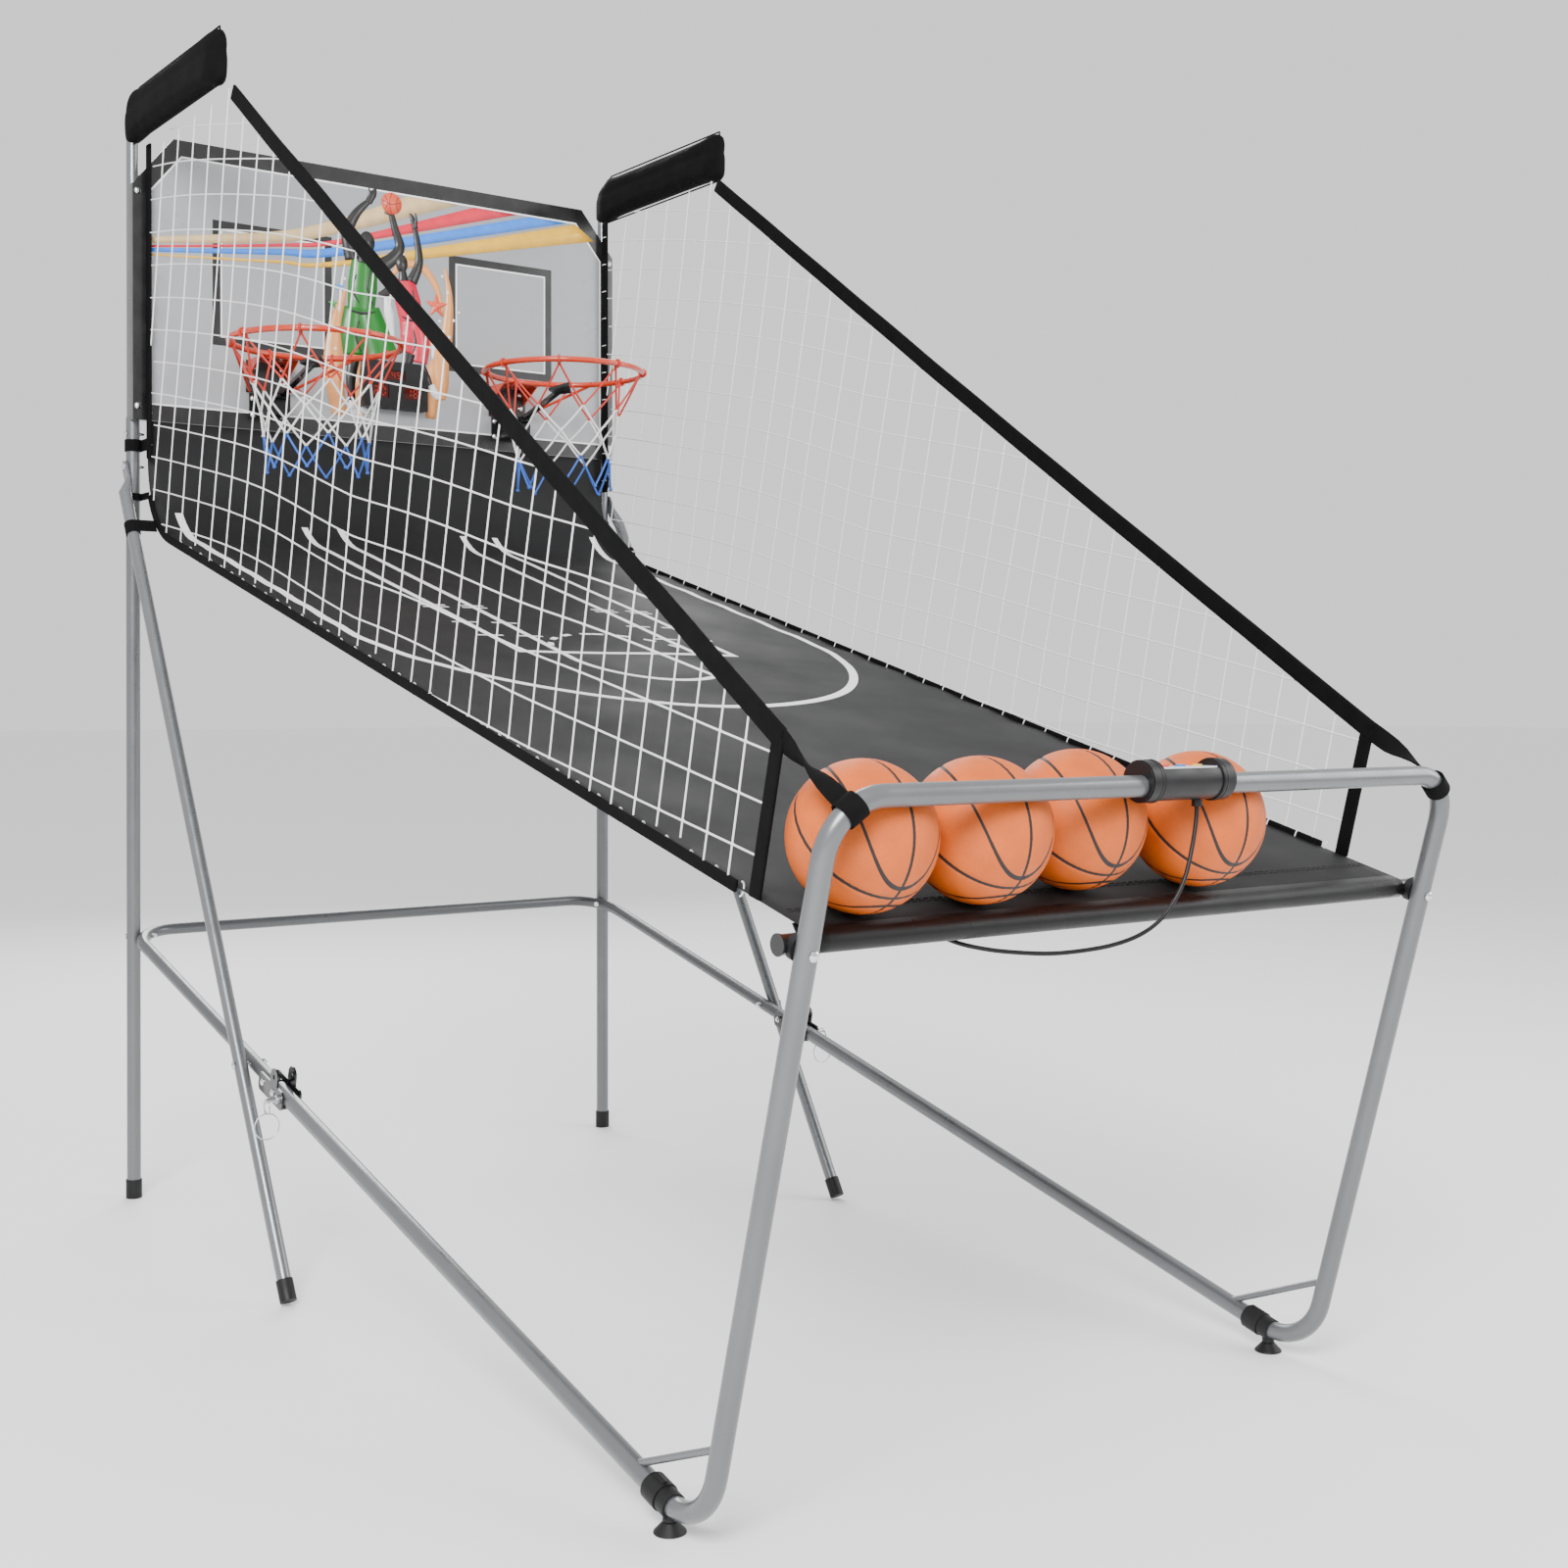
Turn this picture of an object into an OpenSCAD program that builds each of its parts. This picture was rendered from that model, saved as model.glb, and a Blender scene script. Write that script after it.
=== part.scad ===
// Foldable two-hoop basketball machine. X runs to the player's right, Y to the backboard, Z up.
// The parts are drawn from the rear uprights, and centre() then moves them to the middle of the floor.

/* [Frame] */
// Width between the centres of the side tubes
frame_w = 1018; // [960:1:1230]
// Distance from the rear uprights forward to the front bottom corners
reach = 1893; // [1800:1:2300]
// Height of the front bottom corners, where the two tube lines would cross
corner_z = 14; // [12:0.5:17]
// Rise of the bottom rails toward the rear, in degrees
rail_angle = 14.16; // [13:0.01:15]
// Forward lean of the front uprights, in degrees
lean = 15.35; // [13:0.05:17]
// Length of the front uprights from the corner to the handle
upright_len = 846; // [800:1:1020]
// Outside diameter of the front frame and the lower rear uprights
tube_d = 25; // [22:0.5:28]
// Wall of every steel tube
tube_wall = 1.5; // [1.2:0.1:2]
// Outside diameter of the rear base tube and the diagonal legs
base_d = 22; // [20:0.5:24]
// Bend radius of the front bottom corners
corner_r = 80; // [70:1:95]
// Bend radius of the handle corners
handle_r = 65; // [50:1:80]
// Height at which the handle tube plugs into the front legs
split_z = 640; // [560:1:650]

/* [Rear stand] */
// Height where the top posts plug into the rear uprights
joint_z = 1453; // [1400:1:1453]
// Height of the top arms
arm_z = 2034; // [2000:1:2060]
// Length of the top arms, forward from the uprights
arm_len = 445; // [380:1:500]
// Bend radius of the top arms
arm_r = 60; // [45:1:80]
// Distance from the rear uprights to the feet of the diagonal legs
leg_reach = 800; // [700:1:950]
// Height of the pivot bolts of the diagonal legs
leg_top = 1362; // [1300:1:1380]
// Position of the rear crossbar behind the uprights
cross_y = 13; // [12:0.5:14]
// Bend radius of the rear base tube
cross_r = 80; // [79:1:90]

/* [Fold hinge] */
// Distance from the rear uprights to the hinge
hinge_reach = 712; // [690:1:800]
// Distance from the hinge bolt to the lock pin
pin_off = 26; // [24:1:30]
// Diameter of the lock pins
pin_d = 8; // [6:0.5:9]
// Thickness of the hinge plates
plate_t = 3; // [2.5:0.5:4]

/* [Backboard] */
// Width of the backboard
board_w = 1036; // [1030:1:1250]
// Height of the bottom edge of the backboard
board_z = 1447; // [1440:1:1500]
// Height of the backboard itself
board_h = 530; // [450:1:560]
// Thickness of the backboard
board_t = 15; // [10:1:18]
// Width of the cut upper corners
board_cut_w = 77; // [40:1:100]
// Height of the cut upper corners
board_cut_h = 94; // [50:1:110]

/* [Hoops] */
// Distance from the middle to the centre of each hoop
hoop_x = 260; // [215:1:300]
// Distance from the rear uprights to the centre of each hoop
hoop_y = 266; // [255:1:290]
// Height of the hoops
hoop_z = 1579; // [1570:1:1590]
// Radius of the hoops, to the middle of the ring tube
hoop_r = 155; // [140:1:162]
// Diameter of the ring tube
ring_d = 11; // [9:0.5:13]
// Length of the hoop nets
net_len = 232; // [190:1:250]

/* [Court and balls] */
// Rise of the court toward the rear, in degrees
court_angle = 15.44; // [14.5:0.01:16]
// Half of the width of the court fabric less half of the frame width
court_inset = 19; // [18:1:24]
// Thickness of the court fabric
court_t = 2; // [1.5:0.5:3]
// Radius of the bend at the rear of the court
court_r = 170; // [120:1:180]
// Height on the front uprights of the bolts that hold the lip bar
lip_z = 672; // [668:1:700]
// Diameter of the lip bar
lip_d = 22; // [19:0.5:25]
// Diameter of each ball
ball_d = 165; // [140:1:180]
// Wall of each ball
ball_wall = 4; // [3:0.5:6]

/* [Control box] */
// Length of the round body between the collars
box_len = 96; // [90:1:130]
// Radius of the body of the control box
box_r = 23; // [23:0.5:26]
// Length of each collar
collar_len = 22; // [14:1:30]
// Diameter of the buttons
button_d = 12; // [9:0.5:13]
// Travel of the buttons
button_travel = 1.5; // [1:0.1:1.6]

/* [Fasteners and cord] */
// Diameter of the bolts
bolt_d = 6; // [5:0.5:8]
// Diameter of the bolt heads
head_d = 12; // [10:0.5:14]
// Diameter of the signal cord
cord_d = 5; // [4:0.5:6]

/* [Hidden] */
$fn = 64;
fit = 0.05;
gap = 0.3;
eps = 1;

half_w = frame_w / 2;
tube_r = tube_d / 2;
post_d = tube_d - 2 * tube_wall - 2 * fit;
rail_dir = [0, cos(rail_angle), sin(rail_angle)];
rail_up = [0, -sin(rail_angle), cos(rail_angle)];
upright_dir = [0, -sin(lean), cos(lean)];
upright_back = [0, cos(lean), sin(lean)];
corner = [half_w, -reach, corner_z];
handle = corner + upright_len * upright_dir;
function rail_at(y) = corner + rail_dir * (y + reach) / rail_dir.y;
function upright_at(z) = corner + upright_dir * (z - corner_z) / upright_dir.z;
hinge = rail_at(-hinge_reach);
lock_at = hinge - pin_off * rail_dir;
hinge_gap = tube_r + 0.5;
hinge_pad = 42;
cross = rail_at(cross_y);
split_at = upright_at(split_z);
spigot = 50;

leg_x = half_w + tube_r + base_d / 2 + 1;
cap_wall = 2;
cap_d = base_d + 2 * cap_wall;
leg_lean = atan(leg_reach / leg_top);
leg_dir = [0, sin(leg_lean), cos(leg_lean)];
leg_pivot = [leg_x, 0, leg_top];
leg_end_z = cap_d / 2 * sin(leg_lean);
leg_foot = leg_pivot - leg_dir * (leg_top - leg_end_z) / leg_dir.z;
cap_floor = 3;
cap_len = 34;
flat_t = 4;
flat_x = half_w + tube_r + gap;
flat_len = 60;
leg_at_rail_z = (hinge.z * rail_dir.y - (hinge.y - leg_pivot.y - leg_dir.y / leg_dir.z * (0 - leg_top))
    * rail_dir.z) / (rail_dir.y - rail_dir.z * leg_dir.y / leg_dir.z);
leg_rail = [half_w, leg_dir.y / leg_dir.z * (leg_at_rail_z - leg_top), leg_at_rail_z];

board_rear = -(tube_r + 0.5);
board_front = board_rear - board_t;
bolt_x = half_w;
board_bolt_z = [board_z + 26, board_z + board_h - board_cut_h - 12];

rim_plate = [85, 3, 62];
rim_plate_z = hoop_z - rim_plate.z;
sensor_plate = [72, 3, 50];
sensor_plate_z = rim_plate_z - sensor_plate.z - 1;
sensor_box = [44, 58, 40];
sensor_z = sensor_plate_z + 5;
arm_pivot = [hoop_x, board_front - 3 - sensor_box.y - 7, sensor_z + sensor_box.z - 6];
arm_tip = [hoop_x, -hoop_y, hoop_z - 29];
arm_pin_d = 4;
brace_turn = 50;

score = [136, 24, 93];
score_z = board_z + 63;
score_cut = 18;
battery = [76, 22, 62];
battery_z = score_z + 12;

lip_seat = upright_at(lip_z);
lip_at = lip_seat + (tube_r + lip_d / 2 + 1) * upright_back;
lip_over = 18;
hem_r = lip_d / 2 + gap;
court_dir = [0, cos(court_angle), sin(court_angle)];
court_up = [0, -sin(court_angle), cos(court_angle)];
court_w = frame_w - 2 * court_inset;
court_start = lip_at + (hem_r + court_t / 2) * court_up;
court_rear_y = board_front + court_t;
court_corner_z = court_start.z + (court_rear_y - court_start.y) * tan(court_angle);
court_bend_z = court_corner_z + court_r * tan((90 - court_angle) / 2);
function court_edge(shift, from_y) = concat(
    [[court_rear_y + shift, board_z - 0.5]],
    [for (i = [0:12]) let (a = -i / 12 * (90 - court_angle))
        [court_rear_y - court_r + (court_r + shift) * cos(a), court_bend_z + (court_r + shift) * sin(a)]],
    [[from_y + shift * sin(court_angle),
      court_start.z + (from_y - court_start.y) * tan(court_angle) - shift * cos(court_angle)]]);

ball_r = ball_d / 2;
ball_x = [-405, -238, -71, 117];
// A ball lies on the court and rolls down it until it is stop away from the bar at b
ball_line = lip_at + (hem_r + court_t + ball_r + 0.4) * court_up;
function rolled_to(b, stop) = let (
    v = [0, ball_line.y - b.y, ball_line.z - b.z],
    k = v * court_dir)
    ball_line + (sqrt(k * k - v * v + stop * stop) - k) * court_dir;
function ball_at(i) = i == 2
    ? rolled_to(box_at, ball_r + collar_r + 0.5)
    : rolled_to(handle, ball_r + tube_r + 0.5);

net_x = half_w - court_inset + 2;
net_t = 2;
sleeve_t = 3;
sleeve_w = 20;
pad_bottom = arm_z - 76;
pad_top = arm_z + 25;
pad_t = 34;
strap_y = -1960 + 1893 - reach;
strap_foot = [strap_y, court_start.z + (strap_y - court_start.y) * tan(court_angle)];
strap_head = [strap_foot.x - 43, strap_foot.y + 173];
net_front = [-arm_len - 18, pad_bottom - 12];
net_rear = board_front - 14;

box_at = [0, handle.y + 4, handle.z + 5];
flat_z = box_r - 9;
collar_r = box_r + 1.5;
button_x = [-28, 0, 28];
gland_x = 28;
gland_d = 9;

foot_back = 71;
foot_at = rail_at(-reach + foot_back);
clamp_d = tube_d + 6;
boss_z = foot_at.z - 19;
cup_r = 19;
stud_d = 6;

front_most = min(box_at.y - collar_r, handle.y - tube_r - 3.3);
rear_most = cross_y + base_d / 2;
mid_y = (front_most + rear_most) / 2;

cord_route = [
    [28, -2113, 815], [26, -2114, 790], [16, -2116, 755], [3, -2117, 722], [-12, -2114, 696],
    [-32, -2109, 674], [-58, -2102, 659], [-92, -2094, 650], [-130, -2086, 646], [-170, -2078, 645],
    [-210, -2068, 648], [-246, -2054, 653], [-274, -2034, 661], [-290, -2004, 674], [-294, -1960, 690],
    [-290, -1900, 708], [-262, -1700, 764], [-222, -1400, 847], [-182, -1100, 930], [-142, -800, 1013],
    [-102, -500, 1096], [-72, -280, 1156], [-60, -170, 1188], [-52, -100, 1210], [-44, -50, 1246],
    [-36, -22, 1300], [-30, -8, 1370], [-26, -1, 1440], [-24, 0, 1500], [-24, 0, 1526]];
cord_rings = 79;
cord_sides = 8;

// ---- shared shapes ----

function unit(v) = v / norm(v);
function turn_at(p, i) = acos(unit(p[i] - p[i - 1]) * unit(p[i + 1] - p[i]));
function trim_at(p, i, r) = (i == 0 || i == len(p) - 1) ? 0 : r * tan(turn_at(p, i) / 2);

module centre() {
    translate([0, -mid_y, 0]) children();
}

module side(s) {
    if (s < 0) mirror([1, 0, 0]) children();
    else children();
}

// Stands its child, drawn up Z, on point a and points it at b
module along(a, b) {
    v = b - a;
    translate(a) rotate([0, acos(v.z / norm(v)), atan2(v.y, v.x)]) children();
}

module rod(a, b, d) {
    along(a, b) cylinder(h = norm(b - a), d = d);
}

// A bend; ease makes it a hair thinner than the straights, whose ends it then runs into
module elbow(p0, p1, p2, r, d, ease = 0) {
    lap = 10 * ease;
    u1 = unit(p0 - p1);
    u2 = unit(p2 - p1);
    open = acos(u1 * u2);
    c = p1 + unit(u1 + u2) * r / sin(open / 2);
    ex = unit(p1 + u1 * r / tan(open / 2) - c);
    ez = unit(cross(ex, p1 + u2 * r / tan(open / 2) - c));
    ey = cross(ez, ex);
    multmatrix([[ex.x, ey.x, ez.x, c.x], [ex.y, ey.y, ez.y, c.y], [ex.z, ey.z, ez.z, c.z], [0, 0, 0, 1]])
        rotate([0, 0, -lap]) rotate_extrude(angle = 180 - open + 2 * lap)
            translate([r, 0]) circle(d = d - ease);
}

// A round bar bent along the points, with its ends drawn out by more
module run(p, r, d, more = 0, ease = 0) {
    last = len(p) - 1;
    for (i = [0:last - 1]) {
        u = unit(p[i + 1] - p[i]);
        a = p[i] + u * (i == 0 ? -more : trim_at(p, i, r));
        b = p[i + 1] - u * (i == last - 1 ? -more : trim_at(p, i + 1, r));
        rod(a, b, d);
    }
    if (last > 1) for (i = [1:last - 1]) elbow(p[i - 1], p[i], p[i + 1], r, d, ease);
}

// A U-shaped tube drawn flat: its cross piece on the X axis and its two legs down -Y
module u_run(half, length, r, d, more = 0) {
    rod([r - half, 0, 0], [half - r, 0, 0], d);
    for (s = [-1, 1]) side(s) {
        rod([half, -length - more, 0], [half, -r, 0], d);
        translate([half - r, -r, 0]) rotate_extrude(angle = 90) translate([r, 0]) circle(d = d);
    }
}

// Lays a flat drawing into the plane of X and the direction u, with its origin at o
module in_plane(o, u) {
    multmatrix([[1, 0, 0, 0], [0, u.y, -u.z, o.y], [0, u.z, u.y, o.z], [0, 0, 0, 1]]) children();
}

module pipe(p, r, d, ease = 0) {
    difference() {
        run(p, r, d, 0, ease);
        run(p, r, d - 2 * tube_wall, eps, ease);
    }
}

module bolt_hole(a, dir, length) {
    rod(a - dir * length / 2, a + dir * length / 2, bolt_d + 2 * fit);
}

// A dome-headed bolt with its nut; a is under the head and dir runs down the shank
module bolt(a, dir, grip) {
    along(a, a + dir) {
        cylinder(h = grip + 8, d = bolt_d);
        intersection() {
            translate([0, 0, -4]) cylinder(h = 4, d = head_d);
            translate([0, 0, 4]) sphere(d = head_d + 4);
        }
        translate([0, 0, grip]) cylinder(h = 5, d = head_d - 1, $fn = 6);
    }
}

// A band of even width along flat points
function normal_at(p, i) = let (
    a = p[max(i - 1, 0)], b = p[min(i + 1, len(p) - 1)], u = (b - a) / norm(b - a)) [-u.y, u.x];
function band(p, w) = concat(
    [for (i = [0:len(p) - 1]) p[i] + normal_at(p, i) * w / 2],
    [for (i = [len(p) - 1:-1:0]) p[i] - normal_at(p, i) * w / 2]);

// Extrudes a flat shape drawn in Y and Z along X, from x, by t
module slab(x, t) {
    translate([x, 0, 0]) rotate([90, 0, 90]) linear_extrude(t) children();
}

// ---- rear stand ----

module rear_upright(s) {
    color("#7d8185") centre() side(s) difference() {
        pipe([[half_w, 0, cap_floor], [half_w, 0, joint_z]], 0, tube_d);
        bolt_hole([half_w, 0, corner_bolt_z], corner_bolt_dir, 60);
        bolt_hole([half_w, 0, leg_top], [1, 0, 0], 60);
        bolt_hole([half_w, 0, joint_z - 30], [1, 0, 0], 60);
    }
}

module top_post(s) {
    color("#8f9397") centre() side(s) difference() {
        pipe([[half_w, 0, joint_z - 60], [half_w, 0, arm_z], [half_w, -arm_len, arm_z]], arm_r, post_d);
        bolt_hole([half_w, 0, joint_z - 30], [1, 0, 0], 60);
        for (z = board_bolt_z) bolt_hole([bolt_x, 0, z], [0, 1, 0], 60);
    }
}

module leg(s) {
    neck = leg_pivot - leg_dir * flat_len;
    color("#8f9397") centre() side(s) difference() {
        union() {
            pipe([leg_foot + leg_dir * cap_floor, neck], 0, base_d);
            hull() {
                rod(neck - 3 * leg_dir, neck + leg_dir, base_d + 0.3, $fn = 32);
                translate([flat_x, 0, 0]) multmatrix(leg_plane()) translate([-0.2, -11.2, -flat_len / 2])
                    cube([flat_t + 0.4, 22.4, 2]);
            }
            translate([flat_x, 0, 0]) multmatrix(leg_plane()) slab(0, flat_t) {
                translate([-11, -flat_len / 2]) square([22, flat_len / 2]);
                circle(d = 22);
            }
        }
        bolt_hole([flat_x, 0, leg_top], [1, 0, 0], 60);
        bolt_hole([leg_x, leg_rail.y, leg_rail.z], [1, 0, 0], 60);
    }
}

// The plane of a leg: Z runs up along it from the pivot
function leg_plane() = [
    [1, 0, 0, 0],
    [0, cos(leg_lean), sin(leg_lean), 0],
    [0, -sin(leg_lean), cos(leg_lean), leg_top],
    [0, 0, 0, 1]];

module cap(d) {
    difference() {
        cylinder(h = cap_len, d = d + 2 * cap_wall);
        translate([0, 0, cap_floor]) cylinder(h = cap_len, d = d + 2 * fit);
    }
}

module foot_caps() {
    color("#1b1b1c") centre() for (s = [-1, 1]) side(s) {
        translate([half_w, 0, 0]) cap(tube_d);
        along(leg_foot, leg_foot + leg_dir) cap(base_d);
    }
}

// The bolts that tie the uprights to the corners of the base tube run out from the bend centres
corner_bolt_dir = unit([cross_r, cross_r - cross_y, 0]);
corner_bend = [half_w - cross_r, cross_y - cross_r, 0];
corner_bolt_z = rail_at((corner_bend + corner_bolt_dir * cross_r).y).z;
corner_bolt_head = [half_w, 0, corner_bolt_z] + corner_bolt_dir * tube_r;
corner_bolt_grip = norm([half_w, 0, 0] - corner_bend) + tube_r - cross_r + base_d / 2;

module base_tube() {
    length = norm(cross - hinge) - 22;
    color("#6f7377") centre() difference() {
        in_plane(cross, rail_dir) difference() {
            u_run(half_w, length, cross_r, base_d);
            u_run(half_w, length, cross_r, base_d - 2 * tube_wall, eps);
        }
        for (s = [-1, 1]) side(s) {
            bolt_hole([half_w, 0, corner_bolt_z], corner_bolt_dir, 110);
            bolt_hole(leg_rail, [1, 0, 0], 60);
            bolt_hole(hinge + hinge_pad * rail_dir, [1, 0, 0], 60);
        }
    }
}

// ---- fold hinge ----

// Draws in the rail's own plane: X runs up the rail from the hinge bolt and Y up from it
module hinge_slab(x, t) {
    multmatrix([
        [0, 0, 1, x], [rail_dir.y, rail_up.y, 0, hinge.y], [rail_dir.z, rail_up.z, 0, hinge.z], [0, 0, 0, 1]])
        linear_extrude(t) children();
}

module hinge_outline() {
    front = -pin_off - 13;
    translate([front + 8, -16]) square([hinge_pad + 16 - front - 16, 30]);
    translate([front, -8]) square([hinge_pad + 16 - front, 14]);
    for (x = [front + 8, hinge_pad + 8]) {
        translate([x, -8]) circle(8);
        translate([x, 6]) circle(8);
    }
    translate([-14, 0]) square([28, pin_off]);
    translate([0, pin_off]) circle(14);
}

module hinge_bracket(s) {
    color("#2c2d2f") centre() side(s) difference() {
        union() {
            for (x = [half_w - hinge_gap - plate_t, half_w + hinge_gap])
                hinge_slab(x, plate_t) hinge_outline();
            hinge_slab(half_w - hinge_gap - plate_t, 2 * (hinge_gap + plate_t)) {
                translate([18, -16]) square([hinge_pad - 10, 16 - tube_r - gap]);
                translate([-pin_off - 5, -16]) square([12, 16 - tube_r - gap]);
            }
        }
        bolt_hole(hinge, [1, 0, 0], 60);
        bolt_hole(hinge + hinge_pad * rail_dir, [1, 0, 0], 60);
        for (p = [lock_at, hinge + pin_off * rail_up]) rod(p - [30, 0, 0], p + [30, 0, 0], pin_d + 2 * fit);
    }
}

module frame_bolts() {
    outer = [1, 0, 0];
    reach_in = hinge_gap + plate_t;
    color("#c9ccd0") centre() for (s = [-1, 1]) side(s) {
        bolt(corner_bolt_head, -corner_bolt_dir, corner_bolt_grip);
        bolt([flat_x + flat_t, 0, leg_top], -outer, flat_t + gap + tube_d);
        bolt([leg_x + base_d / 2, leg_rail.y, leg_rail.z], -outer, 2 * base_d + 1 + tube_r - base_d / 2);
        bolt([half_w + tube_r, 0, joint_z - 30], -outer, tube_d);
        bolt(hinge + outer * reach_in, -outer, 2 * reach_in);
        bolt(hinge + hinge_pad * rail_dir + outer * reach_in, -outer, 2 * reach_in);
    }
}

module lock_pin(s) {
    x0 = half_w + hinge_gap + 0.2;
    color("#c9ccd0") centre() side(s) translate([0, lock_at.y, lock_at.z]) {
        translate([x0, 0, 0]) rotate([0, 90, 0]) cylinder(h = 24, d = pin_d);
        translate([half_w + hinge_gap + plate_t + gap, 0, 0]) rotate([0, 90, 0]) cylinder(h = 4, d = pin_d + 6);
        translate([x0 + 22, 0, 0]) {
            translate([0, 0, -10]) rotate([0, 90, 0]) rotate_extrude() translate([11, 0]) circle(d = 2.4);
            translate([0, 0, -40]) rotate([90, 0, 0]) rotate_extrude() translate([20, 0]) circle(d = 2);
        }
    }
}

// ---- backboard ----

module backboard() {
    w = board_w / 2;
    top = board_z + board_h;
    color("#9fa1a4") centre() difference() {
        translate([0, board_rear, 0]) rotate([90, 0, 0]) linear_extrude(board_t) polygon([
            [-w, board_z], [w, board_z], [w, top - board_cut_h], [w - board_cut_w, top],
            [board_cut_w - w, top], [-w, top - board_cut_h]]);
        for (s = [-1, 1]) side(s) {
            for (z = board_bolt_z) bolt_hole([bolt_x, 0, z], [0, 1, 0], 90);
            for (p = rim_bolts()) bolt_hole([p.x, board_rear, p.y], [0, 1, 0], 90);
        }
        translate([0, board_rear, score_z + 30]) rotate([90, 0, 0]) cylinder(h = board_t, d = 14);
    }
}

function rim_bolts() = concat(
    [for (x = [-30, 30], z = [21, 49]) [hoop_x + x, rim_plate_z + z]],
    [for (x = [-29, 29]) [hoop_x + x, sensor_plate_z + 40]],
    [for (x = [-29, 29]) [hoop_x + x, sensor_plate_z + 9]]);

module board_bolts() {
    color("#c9ccd0") centre() for (s = [-1, 1]) side(s) {
        for (z = board_bolt_z) bolt([bolt_x, board_front, z], [0, 1, 0], post_d / 2 - board_front);
        for (p = rim_bolts()) bolt([p.x, board_front - 3, p.y], [0, 1, 0], board_t + 3);
    }
}

module rim(s) {
    ring_end = -hoop_y + hoop_r;
    color("#d8401f") centre() side(s) difference() {
        union() {
            translate([hoop_x, -hoop_y, hoop_z]) rotate_extrude($fn = 96) translate([hoop_r, 0]) circle(d = ring_d);
            translate([hoop_x - rim_plate.x / 2, board_front - 3, rim_plate_z]) cube(rim_plate);
            translate([hoop_x - 39.4, ring_end - 3, hoop_z - 3]) cube([78.8, board_front - ring_end + 1, 3]);
            for (x = [-39.4, 36.4]) slab(hoop_x + x, 3) polygon([
                [board_front - 1, rim_plate_z + 26], [board_front - 1, hoop_z - 1], [ring_end + 20, hoop_z - 1]]);
            for (x = [-1, 1]) rod(
                [hoop_x + x * 35.5, board_front - 2, rim_plate_z + 3.2],
                [hoop_x + x * (hoop_r + 1) * sin(brace_turn), -hoop_y + (hoop_r + 1) * cos(brace_turn), hoop_z - 2], 6);
        }
        for (p = rim_bolts()) bolt_hole([p.x, board_front, p.y], [0, 1, 0], 12);
    }
}

module rim_net(s) {
    top = hoop_z - ring_d / 2 + 0.9;
    outline = [[hoop_r - 4, 0], [hoop_r - 42, -74], [hoop_r - 55, -140], [hoop_r - 63, -net_len]];
    color("#f2f2f0") centre() side(s) difference() {
        translate([hoop_x, -hoop_y, top]) rotate_extrude() polygon(concat(
            outline, [for (i = [len(outline) - 1:-1:0]) outline[i] - [3, 0]]));
        translate([hoop_x - 15, -hoop_y, top - 160]) cube([30, hoop_r, 161]);
    }
}

module sensor_housing(s) {
    color("#1d1e20") centre() side(s) difference() {
        union() {
            translate([hoop_x - sensor_plate.x / 2, board_front - 3, sensor_plate_z]) cube(sensor_plate);
            translate([hoop_x - sensor_box.x / 2, board_front - 3 - sensor_box.y, sensor_z]) cube(sensor_box);
            for (x = [-15, 11]) slab(hoop_x + x, 4) {
                translate([arm_pivot.y, arm_pivot.z]) circle(6);
                translate([arm_pivot.y, arm_pivot.z - 6]) square([8, 12]);
            }
        }
        translate([hoop_x - sensor_box.x / 2 + 2, board_front - 1 - sensor_box.y, sensor_z + 2])
            cube(sensor_box - [4, 4, 4]);
        rod(arm_pivot - [20, 0, 0], arm_pivot + [20, 0, 0], arm_pin_d + 2 * fit);
        for (p = rim_bolts()) bolt_hole([p.x, board_front, p.y], [0, 1, 0], 12);
    }
}

module sensor_arm(s) {
    a = arm_pivot;
    v = arm_tip - arm_pivot;
    tilt = atan2(v.z, -v.y);
    color("#1d1e20") centre() side(s) {
        rod(a - [15, 0, 0], a + [15, 0, 0], arm_pin_d);
        rod(a - [7, 0, 0], a + [7, 0, 0], 11);
        translate(a) rotate([-tilt, 0, 0]) {
            translate([-6, -norm(v), -3.5]) cube([12, norm(v), 7]);
            translate([0, -norm(v) - 20, -3]) linear_extrude(6) polygon([[0, 0], [26, 38], [6, 50], [-6, 50], [-26, 38]]);
        }
    }
}

module sensor_springs() {
    color("#d0d2d4") centre() for (s = [-1, 1]) side(s) for (i = [0:2])
        translate(arm_pivot + [8.2 + i * 0.9, 0, 0]) rotate([0, 90, 0]) rotate_extrude()
            translate([arm_pin_d / 2 + 0.8, 0]) circle(d = 1);
}

module sensor_switches() {
    color("#3b3f45") centre() for (s = [-1, 1]) side(s) {
        translate([hoop_x - 10, board_front - 1 - sensor_box.y + 0.2, sensor_z + 2]) cube([20, 10, 16]);
        translate([hoop_x - 2, board_front - 1 - sensor_box.y + 3, sensor_z + 18]) cube([4, 4, 5]);
    }
}

// ---- scoreboard ----

module score_outline(shrink) {
    w = score.x / 2 - shrink;
    h = score.z - shrink;
    polygon([[-w, shrink], [w, shrink], [w, h - score_cut], [w - score_cut, h], [score_cut - w, h], [-w, h - score_cut]]);
}

module score_slab(y, t) {
    translate([0, y, score_z]) rotate([90, 0, 0]) linear_extrude(t) children();
}

// Window places and sizes on the face of the scoreboard
SCORE_WINDOWS = [[-19, 56, 38, 20], [-54, 20, 38, 26], [16, 20, 38, 26]];

module scoreboard_case() {
    color("#26282b") centre() difference() {
        score_slab(board_front, score.y - 3) score_outline(0);
        score_slab(board_front - 2, score.y) score_outline(2);
        translate([0, board_front + 1, score_z + 30]) rotate([90, 0, 0]) cylinder(h = 5, d = 12);
    }
}

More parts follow.
